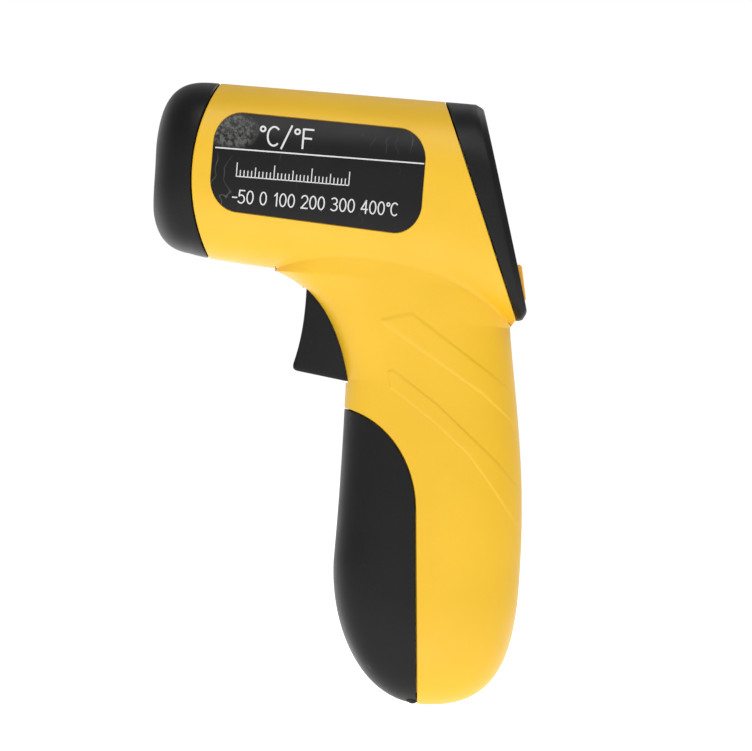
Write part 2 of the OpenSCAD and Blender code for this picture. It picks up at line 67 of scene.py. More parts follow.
def make_camera():
    """A long lens level with the part, rolled so that the barrel slopes down to the right."""
    data = bpy.data.cameras.new("camera")
    data.sensor_width = SENSOR_WIDTH
    data.lens = SENSOR_WIDTH*CAMERA_DISTANCE/PICTURE_WIDTH
    data.clip_start, data.clip_end = 0.05, 20
    cam = bpy.data.objects.new("camera", data)
    scene.collection.objects.link(cam)
    c, s = math.cos(ROLL), math.sin(ROLL)
    turn = Matrix(((c, -s, 0), (0, 0, -1), (s, c, 0)))
    low, high = [Vector(p) for p in cad_box]
    centre = (low + high)/2 + Vector(PICTURE_CENTRE)
    cam.matrix_world = Matrix.Translation((centre.x, -CAMERA_DISTANCE, centre.z)) @ turn.to_4x4()
    scene.camera = cam
    scene.view_settings.view_transform = "Standard"


make_camera()

# ---- the outer skin, as a width over the side view ----

# the outlines are Bezier curves of (x, z)
BARREL_HALF, SQUARE, TOP = 21.0, 2.8, cad_box[1][2]/MM
UNDER = [(-50, 70.07), (-37, 68.5), (-29, 61), (-24.5, 43.4)]
FRONT = [(-24.5, 43.4), (-24.2, 32), (-23.7, 20), (-23.9, -2)]
TOE = [(-23.9, -2), (-23.4, -18.5), (-14.5, -36), (0.5, -36)]
BACK = [(15.3, 59.5), (17, 47), (22.4, 25), (22.7, 0)]
HEEL = [(22.7, 0), (23.6, -24), (19, -36), (0.5, -36)]
DOOR_SEAM = [(-24.8, 36.3), (-13.5, 34.7), (-5.5, 24.5), (-4.5, 12.5)]
SEAM_LOW, SEAM_HIGH = np.array([16.3, 61.3]), np.array([-5.6, TOP])
PANEL_LOW, PANEL_HIGH = np.array([18.9, 64.0]), np.array([4.4, TOP - 2.1])
TILT = math.atan2(PANEL_LOW[0] - PANEL_HIGH[0], PANEL_HIGH[1] - PANEL_LOW[1])
INWARD = np.array([-math.cos(TILT), -math.sin(TILT)])
SENSOR_Z, LASER_Z = 89.5, 106.0
NOSE_CENTRE, NOSE_R, NOSE_FRONT, NOSE_DEPTH = (-19.6, 93.1), 47.4, -62, 14.5
SHELL_R = NOSE_R - 0.3    # the shells end here, a joint line behind the nose cap
NOSE_ROUND, NOSE_BLEND = 3.2, -68.6    # the power of its rounding, and where that takes over from the cap's edge
EDGE_R = 0.3    # rounding of the edges along the joint lines
LEFT, RIGHT = -1, 1
UNDER_X = UNDER[0][0]


def bez(p, t):
    """Points of a cubic Bezier curve."""
    p = np.asarray(p, float)
    t = np.atleast_1d(np.asarray(t, float))
    s = 1 - t
    w = np.stack([s**3, 3*s*s*t, 3*s*t*t, t**3], -1)
    return w @ p


def curve(p, n=800):
    return bez(p, np.linspace(0, 1, n + 1))


front_at = np.vstack([curve(UNDER), curve(FRONT), curve(TOE)])[::-1]
back_at = np.vstack([curve(BACK), curve(HEEL)])[::-1]


def floor_z(x):
    """Height of the barrel's underside."""
    return bez([72, 66.6, 73.2, 58], (np.asarray(x, float) + 70)/90).reshape(np.shape(x))


def oval(t, n):
    """Height of a superellipse of power n at t from -1 to 1."""
    return np.maximum(0, 1 - np.minimum(1, np.abs(t))**n)**(1/n)


def barrel_y(x, z):
    """Half width of the barrel."""
    b = floor_z(x)
    h = (TOP - b)/2
    return BARREL_HALF*oval((z - b - h)/h, SQUARE)


def grip_w(z):
    """Greatest half width of the grip at a height."""
    low = 17.4*oval(np.minimum(0, z + 8)/28.2, 2.3)
    mid = 16.8 + 0.6*np.cos(np.radians(90*(z + 8)/28))
    high = 16.2 + 1.1*(1 - np.cos(np.radians(90*np.clip((z - 48)/27, 0, 1))))
    return np.where(z < -8, low, np.where(z < 48, mid, high))


def grip_y(x, z):
    """Half width of the grip, an oval between its front and its back."""
    f = np.maximum(-44, np.where(z > 69.5, -44, np.interp(z, front_at[:, 1], front_at[:, 0])))
    b = np.where(z > 59.5, 15.4 + (z - 59.5)*0.2, np.interp(z, back_at[:, 1], back_at[:, 0]))
    c, h = (f + b)/2, np.maximum(0.1, (b - f)/2)
    u = (x - c)/h
    end = np.where(u < 0, oval(u, 3.3), oval(u, 2.5))
    return grip_w(z)*end*np.where(z < 78, 1, oval((z - 78)/34, 2))


CREASE = 0.9


def skin(x, z):
    """Half width of barrel and grip together, with the crease between them eased."""
    x, z = np.asarray(x, float), np.asarray(z, float)
    a, b = barrel_y(x, z), grip_y(x, z)
    k = np.minimum(CREASE, np.minimum(a, b)/3 + 0.01)
    d = np.maximum(0, k - np.abs(a - b))/k
    return np.maximum(a, b) + d*d*k/4


# ---- meshes ----

def shade(mesh, angle=32):
    """Smooth shading with the sharp folds kept sharp."""
    mesh.polygons.foreach_set("use_smooth", np.ones(len(mesh.polygons), bool))
    bm = bmesh.new()
    bm.from_mesh(mesh)
    limit = math.radians(angle)
    for e in bm.edges:
        e.smooth = len(e.link_faces) == 2 and e.calc_face_angle(0) < limit
    bm.to_mesh(mesh)
    bm.free()


def new_object(name, verts, faces):
    mesh = bpy.data.meshes.new(name)
    mesh.from_pydata((np.asarray(verts, float)*MM).tolist(), [], [list(map(int, f)) for f in faces])
    mesh.update()
    obj = bpy.data.objects.new(name, mesh)
    scene.collection.objects.link(obj)
    return obj


def quads(r, c, wrap=False, flip=False):
    """Faces of a grid of r rows and c columns."""
    i, j = np.meshgrid(np.arange(r - 1), np.arange(c if wrap else c - 1), indexing="ij")
    k = (j + 1) % c
    f = np.stack([i*c + j, i*c + k, (i + 1)*c + k, (i + 1)*c + j], -1).reshape(-1, 4)
    return f[:, ::-1] if flip else f


def grid_object(name, g, wrap=False, flip=False, caps=()):
    r, c = g.shape[:2]
    faces = [list(f) for f in quads(r, c, wrap, flip)]
    first, last = list(range(c)), list(range((r - 1)*c, r*c))
    if "first" in caps:
        faces.append(first if flip else first[::-1])
    if "last" in caps:
        faces.append(last[::-1] if flip else last)
    return new_object(name, g.reshape(-1, 3), faces)


def apply(obj):
    """Bakes the modifiers into the mesh."""
    dg = bpy.context.evaluated_depsgraph_get()
    mesh = bpy.data.meshes.new_from_object(obj.evaluated_get(dg))
    old = obj.data
    obj.modifiers.clear()
    obj.data = mesh
    bpy.data.meshes.remove(old)
    return obj


def weld(obj, distance=0.002):
    bm = bmesh.new()
    bm.from_mesh(obj.data)
    bmesh.ops.remove_doubles(bm, verts=bm.verts, dist=distance*MM)
    bmesh.ops.dissolve_degenerate(bm, edges=bm.edges, dist=0.001*MM)
    bmesh.ops.recalc_face_normals(bm, faces=bm.faces)
    bm.to_mesh(obj.data)
    bm.free()
    return obj


def loft(name, rings, weld_at=0.0005):
    """A closed solid through rings of points."""
    return weld(grid_object(name, np.array(rings), wrap=True, caps=("first", "last")), weld_at)


def thicken(obj, wall):
    """Gives a skin a wall; where there is no room for one, the inside lies on the outside."""
    m = obj.modifiers.new("wall", "SOLIDIFY")
    m.thickness, m.offset = wall*MM, -1
    m.use_even_offset = False
    apply(obj)
    co = np.empty(len(obj.data.vertices)*3)
    obj.data.vertices.foreach_get("co", co)
    outer, inner = co.reshape(2, -1, 3)
    room = skin(inner[:, 0]/MM, inner[:, 2]/MM)*MM - np.abs(inner[:, 1])
    tight = room < 0.4*MM
    inner[tight] = outer[tight]
    both = co.reshape(-1, 3)
    both[:, 2] = np.clip(both[:, 2], cad_box[0][2] + HAIR, cad_box[1][2] - HAIR)
    both[:, 0] = np.minimum(both[:, 0], cad_box[1][0] - HAIR)
    obj.data.vertices.foreach_set("co", co)
    obj.data.update()
    return obj


def cut(obj, *cutters):
    for c in cutters:
        m = obj.modifiers.new("cut", "BOOLEAN")
        m.operation, m.object, m.solver = "DIFFERENCE", c, "MANIFOLD"
    apply(obj)
    for c in cutters:
        bpy.data.objects.remove(c)
    return obj


def join(name, parts):
    """One object from several, without merging their surfaces."""
    bm = bmesh.new()
    for p in parts:
        bm.from_mesh(p.data)
        bpy.data.objects.remove(p)
    mesh = bpy.data.meshes.new(name)
    bm.to_mesh(mesh)
    bm.free()
    obj = bpy.data.objects.new(name, mesh)
    scene.collection.objects.link(obj)
    return obj


def lathe(name, profile, axis="X", at=(0, 0), n=72, closed=True):
    """A turned shape: profile rows are (along, radius); at is the other two coordinates."""
    p = np.asarray(profile, float)
    a = np.linspace(0, 2*math.pi, n, endpoint=False)
    g = np.zeros((len(p), n, 3))
    for i, (s, r) in enumerate(p):
        if axis == "X":
            g[i] = np.stack([np.full(n, s), at[0] + r*np.cos(a), at[1] + r*np.sin(a)], -1)
        else:
            g[i] = np.stack([at[0] + r*np.cos(a), np.full(n, s), at[1] - r*np.sin(a)], -1)
    if closed:
        g = np.vstack([g, g[:1]])
    return weld(grid_object(name, g, wrap=True, caps=() if closed else ("first", "last")), 0.0005)


def rounded_box(name, x, y, z, r=0.3, seg=3):
    corners = [(a, b, c) for a in x for b in y for c in z]
    faces = [(0, 1, 3, 2), (4, 6, 7, 5), (0, 4, 5, 1), (2, 3, 7, 6), (0, 2, 6, 4), (1, 5, 7, 3)]
    obj = new_object(name, corners, faces)
    m = obj.modifiers.new("round", "BEVEL")
    m.width, m.segments, m.limit_method = r*MM, seg, "NONE"
    return apply(obj)


def on_panel(x, y, z):
    """Panel coordinates (out, across, up) to the frame."""
    c, s = math.cos(TILT), math.sin(TILT)
    x, y, z = np.broadcast_arrays(np.asarray(x, float), np.asarray(y, float), np.asarray(z, float))
    return np.stack([PANEL_HIGH[0] + x*c - z*s, y, PANEL_HIGH[1] + x*s + z*c], -1)


def to_panel(obj):
    c, s = math.cos(TILT), math.sin(TILT)
    m = Matrix(((c, 0, -s, PANEL_HIGH[0]*MM), (0, 1, 0, 0), (s, 0, c, PANEL_HIGH[1]*MM), (0, 0, 0, 1)))
    obj.data.transform(m)
    return obj


# ---- strips over the skin ----

def spread(n, lead=0.15):
    """n places from 0 to 1, crowded near both ends, where the skin turns in steeply."""
    w = np.linspace(0, 1, 4001)
    d = np.minimum(1, np.minimum(w, 1 - w)/lead)**2
    at = np.concatenate([[0], np.cumsum((d[1:] + d[:-1])/2)])
    return np.interp(np.linspace(0, 1, n), w, at/at[-1])


def over_skin(xz):
    """Side-view points lifted onto the left side of the skin."""
    y = np.maximum(0, skin(xz[:, 0], xz[:, 1]))
    return np.stack([xz[:, 0], -y, xz[:, 1]], -1)


def lengths(p):
    """Length along a path at each of its points."""
    return np.concatenate([[0], np.cumsum(np.linalg.norm(np.diff(p, axis=0), axis=1))])


def fillet(d, r):
    """How far a rounded edge of radius r has turned in at distances d from it."""
    return r - np.sqrt(np.maximum(0, r*r - np.maximum(0, r - d)**2))


def line(a, b, at, bow=0.0):
    """Points at the given places from a to b, moved by bow."""
    a, b = np.asarray(a, float), np.asarray(b, float)
    return a + (b - a)*at[:, None] + bow


def grid_normals(g, k=5):
    """Normals towards -Y, taken over k columns either way."""
    p = np.pad(g, ((1, 1), (k, k), (0, 0)), mode="edge")
    du = p[2:, k:-k] - p[:-2, k:-k]
    dv = p[1:-1, 2*k:] - p[1:-1, :-2*k]
    n = np.cross(dv, du)
    n /= np.maximum(1e-9, np.linalg.norm(n, axis=-1, keepdims=True))
    return n if n[g.shape[0]//2, g.shape[1]//2, 1] < 0 else -n


def round_edges(g, r, sides):
    """Turns the marked sides of a grid inwards over a radius r."""
    n = grid_normals(g)
    drop = np.zeros(g.shape[:2])
    for side in sides:
        h = g if side in ("t0", "t1") else g.transpose(1, 0, 2)
        h = h if side[1] == "0" else h[:, ::-1]
        d = np.concatenate([np.zeros((len(h), 1)),
                            np.cumsum(np.linalg.norm(np.diff(h, axis=1), axis=2), 1)], 1)
        e = fillet(d, r)
        e = e if side[1] == "0" else e[:, ::-1]
        e = e if side in ("t0", "t1") else e.T
        drop = np.maximum(drop, e)
    return g - n*drop[..., None]


def arc_point(r, z):
    """The point at height z on the arc where the nose cap ends."""
    return np.array([NOSE_CENTRE[0] - math.sqrt(r*r - (z - NOSE_CENTRE[1])**2), z])


def nose_foot(r):
    """Where that arc meets the barrel's underside."""
    z = 71.0
    for _ in range(30):
        z = float(floor_z(arc_point(r, z)[0]))
    return arc_point(r, z)


def seg(a, b):
    """A straight path from a to b as a function of 0 to 1."""
    a, b = np.asarray(a, float), np.asarray(b, float)
    return lambda t: a + (b - a)*np.atleast_1d(t)[:, None]


def on_floor(x):
    return np.stack([x, floor_z(x)], -1)


FOOT = nose_foot(SHELL_R)
HEAD = arc_point(SHELL_R, TOP)


def by_length(points, n):
    """n points evenly along a path."""
    d = lengths(points)
    at = np.linspace(0, d[-1], n)
    return np.stack([np.interp(at, d, points[:, i]) for i in range(points.shape[1])], -1)


def shell_lines():
    """Pairs of outline points, low and high, that the strips of one shell join, from nose to butt."""
    def pair(low, high):
        return np.stack([low, high], 1)
    def part(n, power=1.0):
        return np.linspace(0, 1, n, endpoint=False)**power
    t = part(34, 1.5)    # the barrel's underside
    rows = [pair(on_floor(FOOT[0] + (UNDER_X - FOOT[0])*t), seg(HEAD, [-36, TOP])(t))]
    t = part(14)
    rows.append(pair(on_floor(UNDER_X + 5.95*t), seg([-36, TOP], [-32, TOP])(t)))
    t = part(56)    # the front of the grip, to the trigger and down to the battery door
    rows.append(pair(bez(UNDER, 0.157 + 0.243*t), seg([-32, TOP], SEAM_HIGH)(t)))
    t = part(130)
    rows.append(pair(bez(UNDER, 0.4 + 0.6*(0.35*t + 0.65*t**2)), seg(SEAM_HIGH, SEAM_LOW)(t**2*(1.5 - 0.5*t))))
    t = part(8)
    rows.append(pair(bez(FRONT, 0.05*t), seg(SEAM_LOW, BACK[0])(t)))
    t = part(20)
    rows.append(pair(bez(FRONT, 0.05 + 0.15*t), bez(BACK, 0.12*t)))
    t = part(100)    # along the battery door to the butt
    rows.append(pair(bez(DOOR_SEAM, 0.02 + 0.98*t**2), bez(BACK, 0.12 + 0.68*t)))
    rear = np.vstack([bez(BACK, np.linspace(0.8, 1, 20))[:-1], bez(HEEL, np.linspace(0, 0.9, 60))])
    t = np.linspace(0, 1, 84)
    rows.append(pair(seg([-4.5, 12.5], [-0.4, -33.8])(t), by_length(rear, 84)))
    t = np.linspace(0, 1, 14)[1:]
    rows.append(pair(seg([-0.4, -33.8], [-0.35, -35.7])(t), bez(HEEL, 0.9 + 0.093*t)))
    return np.vstack(rows)


SWOOSH_HEIGHT = 0.28
BANDS = [    # the lower and the upper edge of each
    (np.array([(-17.1, 58.5), (9.5, 42.7), (14.9, 38.4), (19.8, 34.2), (25, 29.5)]),
     np.array([(-17.1, 58.7), (-9.5, 60.9), (10.9, 47.8), (19.1, 42.2), (25, 38.0)])),
    (np.array([(-14.3, 46.0), (-13.3, 42.3), (-1.9, 34.7), (7.3, 27.4), (13.1, 20.6), (20.1, 11.7), (25, 5.5)]),
     np.array([(-14.3, 46.1), (-13.1, 46.6), (-1.5, 39.0), (14.4, 26.0), (21.0, 19.3), (25, 15.2)])),
]


def swoosh(x, z):
    """Height of the two shallow raised bands across the side of the grip."""
    def band(lower, upper):
        lo = np.interp(x, lower[:, 0], lower[:, 1])
        hi = np.interp(x, upper[:, 0], upper[:, 1])
        d = np.minimum(np.minimum(z - lo, hi - z), x - lower[0, 0])
        rise = np.clip(d/0.45 + 0.5, 0, 1)
        return rise*rise*(3 - 2*rise)
    return SWOOSH_HEIGHT*np.maximum(band(*BANDS[0]), band(*BANDS[1]))


def shell_grid(n=210):
    """The skin of the left shell; its front edge follows the nose cap's arc, and the bow fades out behind it."""
    at = spread(n)
    ang = np.arctan2([FOOT[1] - NOSE_CENTRE[1], HEAD[1] - NOSE_CENTRE[1]],
                     [NOSE_CENTRE[0] - FOOT[0], NOSE_CENTRE[0] - HEAD[0]])
    a = ang[0] + (ang[1] - ang[0])*at
    arc = np.stack([NOSE_CENTRE[0] - SHELL_R*np.cos(a), NOSE_CENTRE[1] + SHELL_R*np.sin(a)], -1)
    bow = arc - line(FOOT, HEAD, at)
    out = []
    for lo, hi in shell_lines():
        fade = max(0, 1 - (lo[0] - FOOT[0])/(UNDER_X - FOOT[0]))
        out.append(over_skin(line(lo, hi, at, bow*fade)))
    return np.array(out)


def make_shell(name, sign):
    g = shell_grid()
    g[..., 1] -= swoosh(g[..., 0], g[..., 2])*np.clip((-g[..., 1] - 3)/3, 0, 1)
    g = round_edges(g, EDGE_R, ("t0", "t1", "s0"))
    g[..., 1] = np.minimum(g[..., 1], -0.01)
    g[..., 1] *= -sign
    return weld(grid_object(name, g, flip=sign > 0), 0.001)


left_shell = make_shell("left_shell_skin", LEFT)
right_shell = make_shell("right_shell_skin", RIGHT)

# ---- label, in a shallow recess of the left shell ----

LABEL_X, LABEL_ROUND = (-62, -9.2), 7


def label_span(x, g):
    """Lowest and highest point of the label at x, inside its outline by g."""
    e = np.clip(np.minimum(x - LABEL_X[0], LABEL_X[1] - x)/LABEL_ROUND, 0, 1)
    k = 8*(1 - np.sqrt(1 - (1 - e)**2)) + g
    return 82.4 - 0.05*(x + 56) + k, 107.1 - 0.015*(x + 56) - k


def sheet(name, d0, d1, g, nx, nz):
    """A solid that follows the left side of the barrel between two depths below the skin."""
    x0, x1 = LABEL_X[0] + max(g, 0)*0.9, LABEL_X[1] - max(g, 0)*0.9
    end = LABEL_ROUND
    w = np.concatenate([end*(1 - np.cos(np.linspace(0, np.pi/2, 24, endpoint=False))),
                        np.linspace(end, x1 - x0 - end, nx),
                        x1 - x0 - end*(1 - np.cos(np.linspace(np.pi/2, 0, 24, endpoint=False)[::-1]))])
    w = np.unique(np.round(w, 4))
    x = x0 + w
    lo, hi = label_span(np.clip(x, LABEL_X[0] + 0.001, LABEL_X[1] - 0.001), g)
    t = np.linspace(0, 1, nz)
    z = lo[:, None] + (hi - lo)[:, None]*t
    xx = np.broadcast_to(x[:, None], z.shape)
    y = skin(xx, z)
    out = np.stack([xx, d0 - y, z], -1)
    inn = np.stack([xx, d1 - y, z], -1)
    return loft(name, np.concatenate([out, inn[:, ::-1]], 1))


for s in (left_shell, right_shell):
    thicken(s, 2.0)
    for v in s.data.vertices:
        v.co.y = min(v.co.y, -HAIR) if s is left_shell else max(v.co.y, HAIR)
    cut(s, rounded_box("slot", (-36.9, -17.5), (-7.35, 7.35), (42.5, 71), 0.2))
cut(left_shell, sheet("pocket", -2, 0.45, -0.1, 120, 40))
label = sheet("side_label_film", 0.15, 0.4, 0.1, 140, 60)

SCREWS = [(-47, 106.5), (-50, 75.5), (10, 42), (13.5, -19)]
for x, z in SCREWS:
    y = float(skin(x, z))
    counterbore = [(3, 2.7), (y - 0.35, 2.7), (y + 0.1, 3.0), (y + 3, 3.2)]
    cut(right_shell, lathe("c", counterbore, "Y", (x, z), 40, closed=False))
posts = []
for x, z in SCREWS:
    y = float(min(skin(x + 4.2*a, z + 4.2*b) for a in (-1, 0, 1) for b in (-1, 0, 1)))
    for side in (LEFT, RIGHT):
        inner = 2.7 if side == RIGHT else 1.05
        depth = 5.5 if side == RIGHT else 9
        p = [(0.05*side, 1.4), (0.05*side, 3.9), ((y - 0.9)*side, 3.9), ((y - 0.9)*side, inner),
             (depth*side if side == RIGHT else (y - 0.9)*side, inner)]
        if side == RIGHT:
            p.append((depth*side, 1.4))
        posts.append((side, lathe("post", p, "Y", (x, z), 40)))

# ---- battery door ----

HINGE = (-1.5, -34.2)


def door_grid(n=110):
    """The left half of the battery door's skin, with rows closer together at its top end."""
    front = np.vstack([bez(FRONT, np.linspace(0.216, 1, 60))[:-1], bez(TOE, np.linspace(0, 0.973, 70))])
    seam = np.vstack([bez(DOOR_SEAM, np.linspace(0.025, 1, 60)) + [-0.15, -0.25],
                      seg([-4.75, 12.3], [-0.7, -33.8])(np.linspace(0, 1, 60)[1:]),
                      [[-0.68, -35.0]]])
    w = np.linspace(0, 1, 170)**1.6
    def along(path):
        d = lengths(path)
        return np.stack([np.interp(w*d[-1], d, path[:, i]) for i in (0, 1)], -1)
    at = spread(n)
    return np.array([over_skin(line(hi, lo, at)) for lo, hi in zip(along(front), along(seam))])


def make_door():
    g = round_edges(door_grid(), EDGE_R, ("t0",))
    g[:, -1, 1] = 0
    other = g[:, -2::-1] * np.array([1, -1, 1])
    full = np.concatenate([g, other], 1)
    obj = weld(grid_object("battery_door_skin", full, flip=True), 0.001)
    return thicken(obj, 1.9)


door = make_door()

# ---- nose ----

def power(v, e):
    """A power that keeps the sign."""
    return np.sign(v)*np.abs(v)**e


def make_nose():
    n = 200
    a = np.linspace(0, 2*math.pi, n, endpoint=False)
    e = 2/SQUARE
    def ring(x, q, d=0.0):
        b = floor_z(np.maximum(x, -66))
        h = (TOP - b)/2
        return np.stack([x*np.ones(n), (BARREL_HALF - d)*q*power(np.cos(a), e),
                         b + h + (h - d)*q*power(np.sin(a), e)], -1)
    def q_of(x):
        """How much of the full section is left at x."""
        t = np.clip((NOSE_FRONT - x)/NOSE_DEPTH, 0, 1)
        return (1 - t**NOSE_ROUND)**(1/NOSE_ROUND)
    x0 = np.full(n, -64.0)
    for _ in range(20):
        z = ring(x0, q_of(x0))[:, 2]
        x0 = NOSE_CENTRE[0] - np.sqrt(NOSE_R**2 - (z - NOSE_CENTRE[1])**2)
    rows = []
    for f in np.concatenate([[0, 0.01, 0.025, 0.05, 0.09], np.linspace(0.13, 1, 14)]):
        x = x0 + (NOSE_BLEND - x0)*f
        rows.append(ring(x, q_of(x)))
    t1 = (NOSE_FRONT - NOSE_BLEND)/NOSE_DEPTH
    for th in np.linspace(math.asin(t1**(NOSE_ROUND/2)), math.pi/2*0.985, 46)[1:]:
        x = NOSE_FRONT - NOSE_DEPTH*math.sin(th)**(2/NOSE_ROUND)
        rows.append(ring(np.full(n, x), math.cos(th)**(2/NOSE_ROUND)))
    g = np.array(rows)
    du, dv = np.gradient(g, axis=0), np.gradient(g, axis=1)
    dv[:, 0] = (g[:, 1] - g[:, -1])/2
    dv[:, -1] = (g[:, 0] - g[:, -2])/2
    nrm = np.cross(dv, du)
    nrm /= np.maximum(1e-9, np.linalg.norm(nrm, axis=-1, keepdims=True))
    if nrm[8, 0, 1] < 0:
        nrm = -nrm
    d = np.concatenate([np.zeros((1, n)), np.cumsum(np.linalg.norm(np.diff(g, axis=0), axis=2), 0)])
    g = g - nrm*fillet(d, EDGE_R)[..., None]
    inner = np.array([ring(x0 + 0.2, q_of(x0), 2.4), ring(np.full(n, -68.0), 0.96, 2.4),
                      ring(np.full(n, -72.2), 0.80, 2.4), ring(np.full(n, -73.9), 0.55, 1.5)])
    obj = loft("nose_cap_skin", np.concatenate([inner[::-1], g]), 0.001)
    hole = lathe("hole", [(-60, 9.85), (-75.7, 9.85), (-76.3, 10.35), (-80, 10.35)], "X", (0, SENSOR_Z), 96, False)
    beam = lathe("beam", [(-60, 1.7), (-75.1, 1.7), (-76.2, 2.5), (-80, 2.5)], "X", (0, LASER_Z), 48, False)
    return cut(obj, hole, beam)


nose = make_nose()

# ---- rear bezel ----

# the bezel's outlines from its seam to its face: low end, high end, depth below the skin
RIM = [(SEAM_LOW + [0.3, 0.1], SEAM_HIGH + [0.3, 0], 0.30), (SEAM_LOW + [0.32, 0.1], SEAM_HIGH + [0.34, 0], 0.14),
       (SEAM_LOW + [0.4, 0.1], SEAM_HIGH + [0.45, 0], 0.03), (SEAM_LOW + [0.55, 0.1], SEAM_HIGH + [0.7, 0], 0),
       ([17.4, 61.4], [0.2, TOP], 0), ([17.95, 61.62], [2.0, TOP - 0.1], 0.02),
       ([18.05, 61.72], [2.2, TOP - 0.14], 0.06), ([18.15, 61.85], [2.4, TOP - 0.25], 0.18),
       ([18.6, 62.7], [3.75, TOP - 1.05], 0.62),
       ([18.8, 63.2], [4.15, TOP - 1.4], 0.86), ([18.88, 63.5], [4.3, TOP - 1.7], 1.02),
       ([18.9, 64.0], [4.4, TOP - 2.1], 1.35)]


def rim_ring(a, b, inset, trim=0.0, n=110, corner=1.6):
    """A closed outline around the skin on the slanting line from a to b."""
    a, b = np.asarray(a, float), np.asarray(b, float)
    u = (b - a)/np.linalg.norm(b - a)
    p = line(a + u*trim, b - u*trim, spread(900))
    y = np.maximum(0.02, skin(p[:, 0], p[:, 1]) - inset)
    y -= fillet(np.linalg.norm(p - p[0], axis=1), corner)
    path = np.stack([p[:, 0], -y, p[:, 1]], -1)
    half = by_length(path, n)
    return np.concatenate([half, (half*np.array([1, -1, 1]))[::-1]])


KEY_Y = {"unit": -9.6, "light": 0, "laser": 9.6}


def make_bezel():
    obj = loft("rear_bezel_skin", [rim_ring(*r) for r in RIM])
    wall = 3.4
    tools = [loft("inside", [rim_ring(SEAM_LOW + INWARD, SEAM_HIGH + INWARD, wall, wall),
                             rim_ring(PANEL_LOW + INWARD*2, PANEL_HIGH + INWARD*2, wall, wall)]),
             to_panel(rounded_box("t", (-6, 3), (-12.3, 12.3), (-29.8, -8.2), 1.2)),
             to_panel(rounded_box("t", (-1.2, 3), (-13.6, 13.6), (-31.1, -6.9), 0.45)),
             to_panel(rounded_box("t", (-9, -2), (-14.6, 14.6), (-48.9, -37.9), 0.3))]
    for y in KEY_Y.values():
        tools.append(to_panel(rounded_box("t", (-6, 3), (y - 4.45, y + 4.45), (-48.25, -38.55), 0.7)))
    return cut(obj, *tools)


bezel = make_bezel()


def path_and_normals(path, n):
    """n points evenly along a path, each with its normal."""
    path = by_length(np.asarray(path, float), n)
    tan = np.gradient(path, axis=0)
    tan /= np.linalg.norm(tan, axis=1, keepdims=True)
    return zip(path, np.stack([tan[:, 1], -tan[:, 0]], -1))


def backing(path, side, depth=(2.0, 2.8), reach=(1.3, 1.6), n=90):
    """A tongue behind a joint line, so that no light comes through the gap."""
    loops = []
    for p, m in path_and_normals(path, n):
        a, b = p - m*reach[0], p + m*reach[1]
        row = []
        for q, d in ((a, depth[0]), (b, depth[0]), (b, depth[1]), (a, depth[1])):
            row.append([q[0], side*max(0.05, float(skin(q[0], q[1])) - d), q[1]])
        loops.append(row)
    return loft("tongue", loops)


def hinge_sleeve(side, a, b, ease):
    """A turned sleeve on the hinge pin from a to b, with eased ends."""
    profile = [(a, 0.75), (a, 1.5), (a + 0.1, 1.68), (b - ease, 1.68), (b, 1.5), (b, 0.75)]
    return lathe("sleeve", [(side*y, r) for y, r in profile], "Y", HINGE, 40)


door_line = np.vstack([bez(DOOR_SEAM, np.linspace(0.08, 1, 50)), [[-0.45, -33.0]]])
tongues = [(side, backing(door_line, side)) for side in (LEFT, RIGHT)]
ears = [(side, hinge_sleeve(side, 0.05, 2.45, 0.15)) for side in (LEFT, RIGHT)]


def spine(path, n, depth=(0.55, 1.3), half=1.2):
    """A tongue inside the edge where the two shells meet."""
    loops = [[[*(p + m*d)] for d in depth] for p, m in path_and_normals(path, n)]
    rows = [[[a[0], -half, a[1]], [a[0], half, a[1]], [b[0], half, b[1]], [b[0], -half, b[1]]] for a, b in loops]
    return loft("spine", rows)


heel = np.vstack([bez(BACK, np.linspace(0.02, 1, 50)), bez(HEEL, np.linspace(0.02, 0.93, 50))])
spines = [spine(heel, 110), spine([[-62, TOP], [-8, TOP]], 20), spine(bez(UNDER, np.linspace(0.33, 0.18, 12)), 12),
          spine(on_floor(np.linspace(-45, -62, 20)), 20), spine(bez(FRONT, np.linspace(0.19, 0.03, 12)), 12)]
fittings = posts + tongues + ears
left_shell = join("left_shell_moulding", [*spines, left_shell] + [o for s, o in fittings if s == LEFT])
right_shell = join("right_shell_moulding", [right_shell] + [o for s, o in fittings if s == RIGHT])
knuckles = [hinge_sleeve(s, 2.85, 5.95, 0.1) for s in (LEFT, RIGHT)]
door = join("battery_door_moulding", [door, *knuckles])


def collar(ring_at, steps, inset, wall=1.0):
    """A ring behind a joint line of the barrel."""
    outer = [ring_at(s, inset) for s in steps]
    inner = [ring_at(s, inset + wall) for s in steps[::-1]]
    g = np.array(outer + inner + outer[:1])
    return weld(grid_object("collar", g, wrap=True), 0.0005)


def nose_collar(x, d, n=120):
    a = np.linspace(0, 2*math.pi, n, endpoint=False)
    b = float(floor_z(max(x, -66)))
    h = (TOP - b)/2
    return np.stack([np.full(n, x), (BARREL_HALF - d)*power(np.cos(a), 2/SQUARE),
                     b + h + (h - d)*power(np.sin(a), 2/SQUARE)], -1)


nose = join("nose_cap_moulding", [nose, collar(nose_collar, [-68, -64, -58], 2.3)])


def bezel_collar(s, d):
    return rim_ring(SEAM_LOW + [-0.7, 1.7] + INWARD*s, SEAM_HIGH + INWARD*s, d, d, n=60)


bezel = join("rear_bezel_moulding", [bezel, collar(bezel_collar, [3.2, 1.8, 0.7], 2.6)])

# ---- trigger ----

